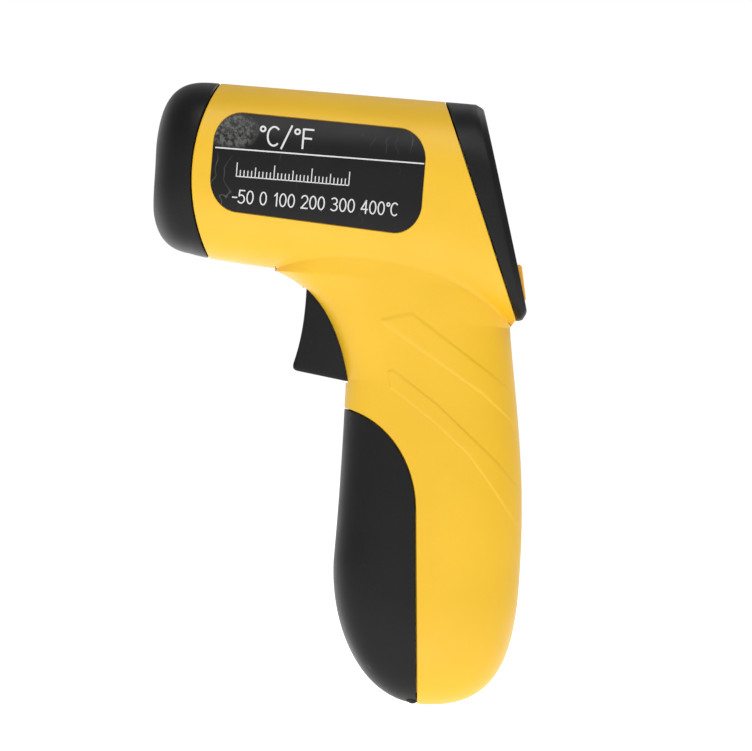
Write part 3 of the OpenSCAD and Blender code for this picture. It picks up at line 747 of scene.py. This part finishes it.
def prism(name, outline, y0, y1, r, seg=5):
    """A side-view outline drawn out across the part, with eased edges."""
    outline = np.asarray(outline, float)
    n = len(outline)
    v = np.vstack([np.insert(outline, 1, y0, axis=1), np.insert(outline, 1, y1, axis=1)])
    faces = [list(range(n)), list(range(2*n - 1, n - 1, -1))]
    faces += [[i, i + n, (i + 1) % n + n, (i + 1) % n] for i in range(n)]
    obj = weld(new_object(name, v, faces), 0.0001)
    m = obj.modifiers.new("round", "BEVEL")
    m.width, m.segments, m.limit_method, m.angle_limit = r*MM, seg, "ANGLE", math.radians(50)
    m.use_clamp_overlap = True
    return apply(obj)


face = bez([(-36.2, 66), (-35.9, 58), (-36.4, 52), (-37.9, 46.2)], np.linspace(0, 1, 26))
foot = [(-37.92, 45.9), (-37.93, 45.5), (-37.85, 45.1), (-37.6, 44.78), (-37.2, 44.55), (-36.7, 44.42), (-36, 44.32)]
rest = [(-24.6, 42.9), (-21.9, 43.0), (-21.2, 43.3), (-20.9, 44), (-20.9, 46), (-27, 64.5), (-27.7, 71), (-28.2, 73),
        (-29.6, 74.3), (-31.5, 74.8), (-33.3, 74.3), (-34.7, 73), (-35.4, 71), (-36.0, 68.5)]
trigger = prism("trigger_body", np.vstack([face, foot, rest]), -7, 7, 0.75)
cut(trigger, rounded_box("pocket", (-34.2, -15), (-5, 5), (45.6, 56.4), 0.4))
PIN, PIVOT = [(6.5, 0.01), (6.5, 1.8), (12.4, 1.8), (12.8, 1.4), (12.8, 0.01)], (-31, 71.5)
pins = [lathe("pin", [(s*y, r) for y, r in PIN], "Y", PIVOT, 40) for s in (LEFT, RIGHT)]
trigger = join("trigger_moulding", [trigger, *pins])

# ---- keys, window, display ----

KEY_LOW, KEY_HIGH, KEY_HALF = -48.0, -38.8, 4.2


def make_key(name, y):
    outline = [(-2.6, KEY_LOW), (0.1, KEY_LOW), (0.4, KEY_LOW + 0.5), (1.1, KEY_HIGH - 0.8), (0.95, KEY_HIGH - 0.2),
               (0.5, KEY_HIGH), (-2.6, KEY_HIGH)]
    body = prism(name, outline, y - KEY_HALF, y + KEY_HALF, 0.55)
    flange = rounded_box("flange", (-3.0, -2.2), (y - KEY_HALF - 0.3, y + KEY_HALF + 0.3),
                         (KEY_LOW + 0.2, KEY_HIGH + 0.3), 0.15)
    if y:    # the low outer corner is cut back, clear of the shell when the key is pressed
        span = (12.0, 15.0) if y > 0 else (-15.0, -12.0)
        for piece in (body, flange):
            cut(piece, rounded_box("relief", (-4, -0.7), span, (KEY_LOW - 1, KEY_LOW + 2.6), 0.1))
    return join(name, [to_panel(body), to_panel(flange)])


keys = {k: make_key(f"key_{k}_cap", y) for k, y in KEY_Y.items()}
window = to_panel(rounded_box("display_window_pane", (-1.15, -0.16), (-13.45, 13.45), (-30.95, -7.05), 0.4))


def ribbon(points, width, closed=False):
    """Corners of a flat band along a path."""
    p = np.asarray(points, float)
    t = np.gradient(p, axis=0)
    if closed:
        t[0] = t[-1] = p[1] - p[-2]
    t /= np.maximum(1e-9, np.linalg.norm(t, axis=1, keepdims=True))
    n = np.stack([-t[:, 1], t[:, 0]], -1)*width/2
    return p + n, p - n


def printed(name, strokes, width, place, rise):
    """Printed strokes as thin raised bands; place turns flat points into the frame at a height above the surface."""
    verts, faces = [], []
    for s in strokes:
        s = np.asarray(s, float)
        d = lengths(s)
        n = max(2, int(d[-1]/0.35) + 1)
        if len(s) == 2:
            at = np.linspace(0, d[-1], n)
            s = np.stack([np.interp(at, d, s[:, i]) for i in (0, 1)], -1)
        closed = np.allclose(s[0], s[-1])
        if not closed:
            u, v = s[0] - s[1], s[-1] - s[-2]
            s = s.copy()
            s[0] += u/np.linalg.norm(u)*width/2
            s[-1] += v/np.linalg.norm(v)*width/2
        a, b = ribbon(s, width, closed)
        k, m = len(verts), len(s)
        for h in (rise, 0.0):
            verts += list(place(a, h)) + list(place(b, h))
        for i in range(m - 1):
            faces += [[k + i, k + i + 1, k + m + i + 1, k + m + i],
                      [k + 2*m + i, k + 3*m + i, k + 3*m + i + 1, k + 2*m + i + 1],
                      [k + i, k + 2*m + i, k + 2*m + i + 1, k + i + 1],
                      [k + m + i, k + m + i + 1, k + 3*m + i + 1, k + 3*m + i]]
        faces += [[k, k + m, k + 3*m, k + 2*m], [k + m - 1, k + 3*m - 1, k + 4*m - 1, k + 2*m - 1]]
    return weld(new_object(name, verts, faces), 0.0001)


def bow_line(cx, cz, rx, rz, a0, a1, n=14):
    """An arc of an ellipse between two angles."""
    a = np.radians(np.linspace(a0, a1, n))
    return np.stack([cx + rx*np.cos(a), cz + rz*np.sin(a)], -1)


GLYPH_WIDTH = 0.56


def glyph(c):
    """Strokes of a plain figure 1 high. Strokes end at corners, so that their ribbons are not pinched."""
    w = GLYPH_WIDTH
    straight = {
        "1": [((w*0.2, 0.8), (w*0.55, 1.0)), ((w*0.55, 1.0), (w*0.55, 0.0))],
        "4": [((w*0.75, 0.0), (w*0.75, 1.0)), ((w*0.75, 1.0), (0, 0.3)), ((0, 0.3), (w, 0.3))],
        "5": [((w*0.92, 1.0), (w*0.12, 1.0)), ((w*0.12, 1.0), (w*0.08, 0.56))],
        "F": [((0.05, 0.0), (0.05, 1.0)), ((0.05, 1.0), (w, 1.0)), ((0.05, 0.52), (w*0.85, 0.52))],
        "-": [((0.05, 0.42), (w*0.75, 0.42))],
        "/": [((0.0, -0.1), (w*0.85, 1.1))],
    }
    round_ = {
        "0": [(w/2, 0.5, w/2, 0.5, 90, 450, 26)],
        "3": [(w*0.42, 0.76, w*0.48, 0.24, 140, -90, 14), (w*0.42, 0.26, w*0.56, 0.26, 90, -140, 14)],
        "5": [(w*0.42, 0.32, w*0.56, 0.32, 125, -140, 16)],
        "C": [(w*0.6, 0.5, w*0.6, 0.5, 52, 308, 20)],
        "o": [(0.14, 0.84, 0.13, 0.13, 0, 360, 14)],
    }
    if c == "2":
        top = bow_line(w/2, 0.72, w/2, 0.28, 160, -30, 14)
        return [top, np.array([top[-1], [0.0, 0.0]]), np.array([[0, 0], [w, 0]])]
    return [np.array(s) for s in straight.get(c, [])] + [bow_line(*s) for s in round_.get(c, [])]


ADVANCE = {"o": 0.42, "-": 0.6, "1": 0.6, " ": 0.45, "/": 0.66}


def write(text, x, z, height, stretch=1.0):
    """Strokes of a line of figures; "o" is the degree sign."""
    out = []
    for c in text:
        for s in glyph(c):
            q = np.asarray(s, float)*height
            q[:, 0] = x + q[:, 0]*stretch
            q[:, 1] = z + q[:, 1]
            out.append(q)
        x += ADVANCE.get(c, 0.78)*height*stretch
    return out


def print_all(name, groups, place, rise):
    """One object from groups of strokes, each with its own width."""
    return join(name, [printed("p", strokes, width, place, rise) for strokes, width in groups])


FILM = 0.15    # depth of the label's face below the skin


def on_label(p, h):
    return np.stack([p[:, 0], FILM - h - skin(p[:, 0], p[:, 1]), p[:, 1]], -1)


divider = [np.stack([np.linspace(-61.2, -9.7, 90), np.linspace(97.9, 98.1, 90)], -1)]
units = write("oC/oF", -50.6, 99.5, 4.7, 0.98)
SCALE_X, SCALE_Z, TICK = -55.6, 91.2, 0.93
ticks = []
for i in range(31):
    x = SCALE_X + i*TICK
    tall = 3.3 if i % 10 == 0 else (2.4 if i % 5 == 0 else 1.5)
    ticks.append(np.array([[x, SCALE_Z], [x, SCALE_Z + tall]]))
ticks.append(np.array([[SCALE_X, SCALE_Z], [SCALE_X + 30*TICK, SCALE_Z]]))
numerals = write("-50 0 100 200 300 400oC", -56.2, 84.7, 3.1, 0.86)
label_print = print_all("label_print", ((divider, 0.34), (units, 0.46), (ticks, 0.24), (numerals, 0.31)),
                        on_label, 0.03)


def on_lcd(p, h):
    return on_panel(-2.99 + h, p[:, 0], p[:, 1])


def seven(digit, y, z, w, h):
    """Segments of one figure; y runs to the reader's right, which is the frame's +Y."""
    lit = {"2": "abged", "5": "afgcd", "6": "afgedc"}[digit]
    g = 0.35
    pts = {"a": ((y + g, z + h), (y + w - g, z + h)), "d": ((y + g, z), (y + w - g, z)),
           "g": ((y + g, z + h/2), (y + w - g, z + h/2)), "f": ((y, z + h/2 + g), (y, z + h - g)),
           "e": ((y, z + g), (y, z + h/2 - g)), "b": ((y + w, z + h/2 + g), (y + w, z + h - g)),
           "c": ((y + w, z + g), (y + w, z + h/2 - g))}
    return [np.array(pts[k]) for k in lit]


digits = [s for d, y in (("2", -8.6), ("5", -2.6), ("6", 3.6)) for s in seven(d, y, -23.5, 3.6, 8)]
point = [np.array([[1.9, -23.6], [2.3, -23.6]])]
unit = write("oC", 8.6, -18.6, 2.8)
bars = [np.array([[-9 + i*1.5, -27], [-8.2 + i*1.5, -27]]) for i in range(9)]
lcd_print = print_all("lcd_figures", ((digits, 0.95), (point, 0.9), (unit, 0.4), (bars, 0.7)), on_lcd, 0.02)


def on_key(p, h):
    out = 0.42 + (p[:, 1] - (KEY_LOW + 0.5))*(0.7/7.9) + h
    return on_panel(out, p[:, 0], p[:, 1])


icon_z = (KEY_LOW + KEY_HIGH)/2 - 0.2
sun = [bow_line(0, icon_z, 0.95, 0.95, 0, 360, 20)] + [
    np.array([[1.45*math.cos(a), icon_z + 1.45*math.sin(a)], [2.05*math.cos(a), icon_z + 2.05*math.sin(a)]])
    for a in np.radians(np.arange(0, 360, 45))]
degrees = write("oC", -10.9, icon_z - 1.1, 2.2)
beam = [np.array([[8.1, icon_z - 1.3], [11.1, icon_z - 1.3], [9.6, icon_z + 1.4], [8.1, icon_z - 1.3]]),
             np.array([[9.6, icon_z - 0.6], [9.6, icon_z + 0.3]])]
icons = {k: printed(f"key_{k}_icon", strokes, 0.3, on_key, 0.03)
         for k, strokes in (("unit", degrees), ("light", sun), ("laser", beam))}

# ---- sensor optics ----

grooves = [(x + dx, r) for x in (-73.6, -72.2, -70.8) for dx, r in ((0, 8.3), (0.25, 8.55), (0.55, 8.55), (0.8, 8.3))]
tube = lathe("sensor_tube_turned",
             [(-45, 8.0), (-45, 9.7), (-74.6, 9.7), (-75, 9.3), (-75, 8.75), (-74.6, 8.3), *grooves,
              (-68.7, 8.3), (-68.7, 7.9), (-66, 7.9), (-66, 7.2), (-64, 7.2), (-64, 8.0)], "X", (0, SENSOR_Z), 96)
steps = [(-67.2, 0.01)]
for i in range(16):
    r = 0.45*(i + 1)
    steps += [(-67.2, r - 0.12), (-67.05, r)]
lens = lathe("infrared_lens_grooved", [*steps, (-67.2, 7.25), (-67.2, 7.8), (-66, 7.8), (-66, 0.01)],
             "X", (0, SENSOR_Z), 72)
ring = lathe("lens_ring_turned",
             [(-68.7, 7.25), (-68.7, 7.75), (-68.55, 7.85), (-67.2, 7.85), (-67.2, 7.2), (-68.3, 7.2)],
             "X", (0, SENSOR_Z), 96)

# every new piece: the body it rides, the CAD nodes it replaces, its slot
made = {
    left_shell: ("case", ["left_shell"], "yellow_shell"), right_shell: ("case", ["right_shell"], "yellow_shell"),
    label: ("case", ["side_label"], "label_film"), door: ("door_body", ["battery_door"], "black_plastic"),
    nose: ("case", ["nose_cap"], "black_plastic"), bezel: ("case", ["rear_bezel"], "black_plastic"),
    trigger: ("trigger_body", ["trigger"], "black_plastic"), window: ("case", ["display_window"], "window"),
    tube: ("case", ["sensor_tube"], "tube_black"), lens: ("case", ["infrared_lens"], "lens_film"),
    ring: ("case", ["lens_ring"], "tube_black"), label_print: ("case", [], None), lcd_print: ("case", [], "lcd"),
}
for k in ("unit", "light", "laser"):
    made[keys[k]] = (f"{k}_key_body", [f"key_{k}"], "yellow_key")
    made[icons[k]] = (f"{k}_key_body", [], None)
for v in nose.data.vertices:    # the tip stays inside the CAD box
    v.co.x = max(v.co.x, cad_box[0][0])
for obj, (body, nodes, slot) in made.items():
    shade(obj.data)
    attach(obj, body)
    if nodes:
        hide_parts(*nodes)

# ---- materials ----

def finish(name, color, rough=0.4, grain=0.3, bump=0.2, tint=0.06, speck=0.1, wear=None, paint=None, stretch=None,
           metallic=0.0, coat=0.0, specular=0.5, transmission=0.0, ior=1.5, sheen=0.0, subsurface=0.0):
    """A moulded, coated or drawn surface: slow colour drift, fine specks, a grain bump and uneven gloss."""
    m = bpy.data.materials.new(name)
    m.use_nodes = True
    nt = m.node_tree
    link = nt.links.new
    def node(kind, **sockets):
        n = nt.nodes.new(kind)
        for k, v in sockets.items():
            n.inputs[k.replace("_", " ")].default_value = v
        return n
    def noise(scale, detail=2.0, roughness=0.5):
        n = node("ShaderNodeTexNoise", Scale=scale, Detail=detail, Roughness=roughness)
        link(place, n.inputs["Vector"])
        return n.outputs["Fac"]
    def span(value, a, b, c, d):
        n = node("ShaderNodeMapRange")
        for i, v in enumerate((a, b, c, d)):
            n.inputs[i + 1].default_value = v
        link(value, n.inputs[0])
        return n.outputs[0]
    def blend(fac, a, b):
        n = nt.nodes.new("ShaderNodeMix")
        n.data_type = "RGBA"
        for i, v in ((0, fac), (6, a), (7, b)):
            if isinstance(v, (tuple, list)):
                n.inputs[i].default_value = (*v[:3], 1)
            elif isinstance(v, float):
                n.inputs[i].default_value = v
            else:
                link(v, n.inputs[i])
        return n.outputs[2]
    bsdf = nt.nodes["Principled BSDF"]
    coords = nt.nodes.new("ShaderNodeTexCoord").outputs["Object"]
    place = coords
    if stretch:
        mapping = nt.nodes.new("ShaderNodeMapping")
        mapping.inputs["Scale"].default_value = stretch
        link(coords, mapping.inputs["Vector"])
        place = mapping.outputs[0]
    def times(a, b):
        n = node("ShaderNodeMath")
        n.operation = "MULTIPLY"
        link(a, n.inputs[0])
        link(b, n.inputs[1])
        return n.outputs[0]
    kit = {"node": node, "noise": noise, "span": span, "blend": blend, "link": link, "times": times, "coords": coords}
    low = [c*(1 - tint) for c in color]
    high = [min(1, c*(1 + tint) + 0.002) for c in color]
    tone = blend(span(noise(38, 3), 0.3, 0.7, 0, 1), low, high)
    specks = span(noise(1000/grain*0.7, 2), 0.52, 0.75, 0, speck)
    tone = blend(specks, tone, [min(1, c*1.6 + 0.01) for c in color])
    if paint:
        tone = paint(kit, tone)
    if wear:
        edge = node("ShaderNodeNewGeometry").outputs["Pointiness"]
        chips = times(span(edge, 0.515, 0.56, 0, 1), span(noise(240, 3), 0.5, 0.66, 0, 0.8))
        tone = blend(chips, tone, wear)
    link(tone, bsdf.inputs["Base Color"])
    link(span(noise(90, 4), 0.3, 0.7, rough - 0.05, rough + 0.06), bsdf.inputs["Roughness"])
    b = node("ShaderNodeBump", Strength=bump, Distance=2.5e-5)
    link(noise(1000/grain, 2), b.inputs["Height"])
    link(b.outputs[0], bsdf.inputs["Normal"])
    for k, v in (("Metallic", metallic), ("Coat Weight", coat), ("Specular IOR Level", specular),
                 ("Transmission Weight", transmission), ("IOR", ior), ("Sheen Weight", sheen),
                 ("Subsurface Weight", subsurface)):
        bsdf.inputs[k].default_value = v
    if subsurface:
        bsdf.inputs["Subsurface Scale"].default_value = 0.0015
    return m


def worn_corner(kit, base):
    """A rubbed patch at the front top corner of the label, and a few fine scratches."""
    node, link, span, times = kit["node"], kit["link"], kit["span"], kit["times"]
    def near(at, size):
        sub = node("ShaderNodeVectorMath")
        sub.operation = "SUBTRACT"
        link(kit["coords"], sub.inputs[0])
        sub.inputs[1].default_value = at
        mul = node("ShaderNodeVectorMath")
        mul.operation = "MULTIPLY"
        link(sub.outputs[0], mul.inputs[0])
        mul.inputs[1].default_value = [1/s for s in size]
        length = node("ShaderNodeVectorMath")
        length.operation = "LENGTH"
        link(mul.outputs[0], length.inputs[0])
        return length.outputs["Value"]
    patch = times(span(near((-0.0575, -0.018, 0.1025), (0.0068, 0.02, 0.0047)), 0.75, 1.05, 1, 0),
                  span(kit["noise"](1150, 3, 0.7), 0.42, 0.6, 0.1, 1))
    base = kit["blend"](patch, base, (0.105, 0.105, 0.1))
    wave = node("ShaderNodeTexWave", Scale=90, Distortion=9, Detail=2, Detail_Scale=1.6)
    link(kit["coords"], wave.inputs["Vector"])
    lines = times(span(wave.outputs["Fac"], 0.985, 1.0, 0, 0.5), span(kit["noise"](70, 2), 0.55, 0.65, 0, 1))
    return kit["blend"](lines, base, (0.12, 0.12, 0.12))


def zebra(kit, base):
    """Dark layers across a contact strip."""
    wave = kit["node"]("ShaderNodeTexWave", Scale=900, Distortion=0.0)
    wave.bands_direction = "Y"
    kit["link"](kit["coords"], wave.inputs["Vector"])
    return kit["blend"](kit["span"](wave.outputs["Fac"], 0.45, 0.55, 0, 1), base, (0.05, 0.03, 0.03))


def traces(kit, base):
    """Copper under green solder mask."""
    brick = kit["node"]("ShaderNodeTexBrick", Scale=420)
    brick.inputs["Mortar Size"].default_value = 0.03
    kit["link"](kit["coords"], brick.inputs["Vector"])
    return kit["blend"](brick.outputs["Fac"], base, (0.07, 0.34, 0.13))


def sleeve(kit, base):
    """A printed battery sleeve with a plain metal end."""
    xyz = kit["node"]("ShaderNodeSeparateXYZ")
    kit["link"](kit["coords"], xyz.inputs[0])
    return kit["blend"](kit["span"](xyz.outputs[2], 0.0065, 0.0067, 0, 1), base, (0.55, 0.4, 0.16))


YELLOW, BLACK = (0.72, 0.425, 0.014), (0.004, 0.004, 0.0042)
# after the colour: roughness, grain in millimetres, bump, colour drift, specks
slots = {
    "yellow_shell": finish("yellow_satin_plastic", YELLOW, 0.42, 0.32, 0.22, 0.03, 0.04, specular=0.4),
    "black_plastic": finish("black_satin_plastic", BLACK, 0.4, 0.28, 0.35, 0.1, 0.25, wear=(0.035, 0.035, 0.035),
                            specular=0.2),
    "yellow_key": finish("yellow_rubber", (0.8, 0.36, 0.02), 0.55, 0.2, 0.2, 0.05, 0.1, sheen=0.1),
    "label_film": finish("printed_label_film", (0.0065, 0.0065, 0.0068), 0.32, 0.5, 0.1, 0.1, 0.12,
                         paint=worn_corner, specular=0.16),
    "window": finish("clear_acrylic", (0.97, 0.98, 0.98), 0.06, 1.5, 0.02, 0.005, 0.0, transmission=1.0, ior=1.49),
    "lcd": finish("liquid_crystal_glass", (0.36, 0.42, 0.33), 0.22, 0.4, 0.04, 0.04, 0.05, coat=0.3),
    "laser_glass": finish("laser_lens_glass", (0.93, 0.95, 0.97), 0.08, 1.0, 0.02, 0.01, 0.0, transmission=1.0),
    "white_plastic": finish("white_moulded_plastic", (0.78, 0.78, 0.75), 0.38, 0.4, 0.12, 0.03, 0.06),
    "lens_film": finish("milky_lens_film", (0.72, 0.73, 0.72), 0.32, 0.5, 0.08, 0.04, 0.05, subsurface=0.3),
    "tube_black": finish("matt_black_tube", (0.012, 0.012, 0.012), 0.6, 0.35, 0.3, 0.1, 0.2, specular=0.3),
    "strip": finish("zebra_rubber_strip", (0.45, 0.2, 0.22), 0.55, 0.2, 0.2, 0.08, 0.1, paint=zebra),
    "board": finish("green_circuit_board", (0.025, 0.17, 0.07), 0.35, 0.4, 0.12, 0.08, 0.1, paint=traces, coat=0.3),
    "part_black": finish("moulded_component", (0.03, 0.03, 0.032), 0.42, 0.25, 0.3, 0.12, 0.2),
    "steel": finish("drawn_steel", (0.6, 0.61, 0.63), 0.28, 0.35, 0.12, 0.06, 0.12, metallic=1.0, stretch=(1, 1, 8)),
    "brass": finish("turned_brass", (0.72, 0.5, 0.2), 0.25, 0.3, 0.15, 0.06, 0.12, metallic=1.0, stretch=(6, 1, 1)),
    "cell": finish("battery_sleeve", (0.05, 0.065, 0.1), 0.3, 0.4, 0.06, 0.06, 0.08, paint=sleeve, coat=0.4),
    "wire_white": finish("white_wire_sleeve", (0.74, 0.74, 0.71), 0.45, 0.3, 0.2, 0.06, 0.1),
    "wire_red": finish("red_wire_sleeve", (0.55, 0.035, 0.03), 0.45, 0.3, 0.2, 0.08, 0.1),
    "wire_black": finish("black_wire_sleeve", (0.02, 0.02, 0.02), 0.45, 0.3, 0.2, 0.1, 0.15),
}
white_ink = finish("white_ink", (0.6, 0.6, 0.6), 0.45, 0.25, 0.15, 0.05, 0.05)
dark_ink = finish("dark_ink", (0.03, 0.032, 0.035), 0.4, 0.25, 0.1, 0.1, 0.1)


def wearing(obj, material):
    obj.data.materials.clear()
    obj.data.materials.append(material)
    obj.data.polygons.foreach_set("material_index", np.zeros(len(obj.data.polygons), np.int32))


for obj, (body, nodes, slot) in made.items():
    wearing(obj, slots[slot] if slot and obj is not lcd_print else dark_ink)
wearing(label_print, white_ink)
# the small black mouldings inside are never handled, so they show no rubbed edges
unworn_black = finish("black_moulded_plastic", BLACK, 0.45, 0.3, 0.3, 0.1, 0.2, specular=0.25)
for entry in frame["record"]["subparts"]:
    slot = entry["material_slot"]
    wearing(frame["nodes"][entry["node"]], unworn_black if slot == "black_plastic" else slots[slot])

# ---- floor and light ----

def sideways(nt, coords, socket, across, upward=None):
    """A brightness that falls off to the left and right, and by height if asked, as between two flags.

    Each range gives two distances and the brightness at each.
    """
    at = nt.nodes.new("ShaderNodeTexCoord")
    xyz = nt.nodes.new("ShaderNodeSeparateXYZ")
    nt.links.new(at.outputs[coords], xyz.inputs[0])
    ends = []
    for axis, limits in ((0, across), (2, upward)):
        if limits is None:
            continue
        size = nt.nodes.new("ShaderNodeMath")
        size.operation = "ABSOLUTE"
        fall = nt.nodes.new("ShaderNodeMapRange")
        for i, v in enumerate(limits):
            fall.inputs[i + 1].default_value = v
        nt.links.new(xyz.outputs[axis], size.inputs[0])
        nt.links.new(size.outputs[0], fall.inputs[0])
        ends.append(fall.outputs[0])
    if len(ends) == 2:
        both = nt.nodes.new("ShaderNodeMath")
        both.operation = "MINIMUM"
        nt.links.new(ends[0], both.inputs[0])
        nt.links.new(ends[1], both.inputs[1])
        ends = [both.outputs[0]]
    nt.links.new(ends[0], socket)


DOOR_REACH = 0.026    # metres, how far the floor lies below the grip so that the open battery door clears it
FLOOR_HALF = 6000
# name, place, size, power
LAMPS = (("low_soft", (-0.10, -0.68, -0.52), 0.4, 0.9), ("high_soft", (0.0, -0.65, 0.8), 0.6, 3.7),
         ("back_soft", (0.5, 0.7, 0.8), 0.8, 4.0))


def stage_set():
    far = FLOOR_HALF
    floor = new_object("floor", [(-far, -far, 0), (far, -far, 0), (far, far, 0), (-far, far, 0)], [(0, 1, 2, 3)])
    floor.location.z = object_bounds()[0][2] - DOOR_REACH
    m = bpy.data.materials.new("pale_floor")
    m.use_nodes = True
    b = m.node_tree.nodes["Principled BSDF"]
    b.inputs["Base Color"].default_value = (0.9, 0.9, 0.9, 1)
    b.inputs["Roughness"].default_value = 0.9
    b.inputs["Specular IOR Level"].default_value = 0.1
    b.inputs["Emission Color"].default_value = (1, 1, 1, 1)
    sideways(m.node_tree, "Object", b.inputs["Emission Strength"], (0.4, 1.6, 0.82, 0.4))
    floor.data.materials.append(m)
    floor.visible_shadow = False
    world = bpy.data.worlds.new("studio")
    scene.world = world
    world.use_nodes = True
    sky = world.node_tree.nodes["Background"]
    sky.inputs[0].default_value = (1, 1, 1, 1)
    sideways(world.node_tree, "Generated", sky.inputs[1], (0.25, 0.9, 1.02, 0.5), (0.06, 0.3, 1.02, 0.42))
    aim = Vector((-0.02, 0, 0.04))
    for name, place, size, watts in LAMPS:
        data = bpy.data.lights.new(name, "AREA")
        data.size, data.energy = size, watts
        lamp = bpy.data.objects.new(name, data)
        scene.collection.objects.link(lamp)
        lamp.location = place
        lamp.rotation_euler = (aim - Vector(place)).to_track_quat("-Z", "Y").to_euler()


stage_set()
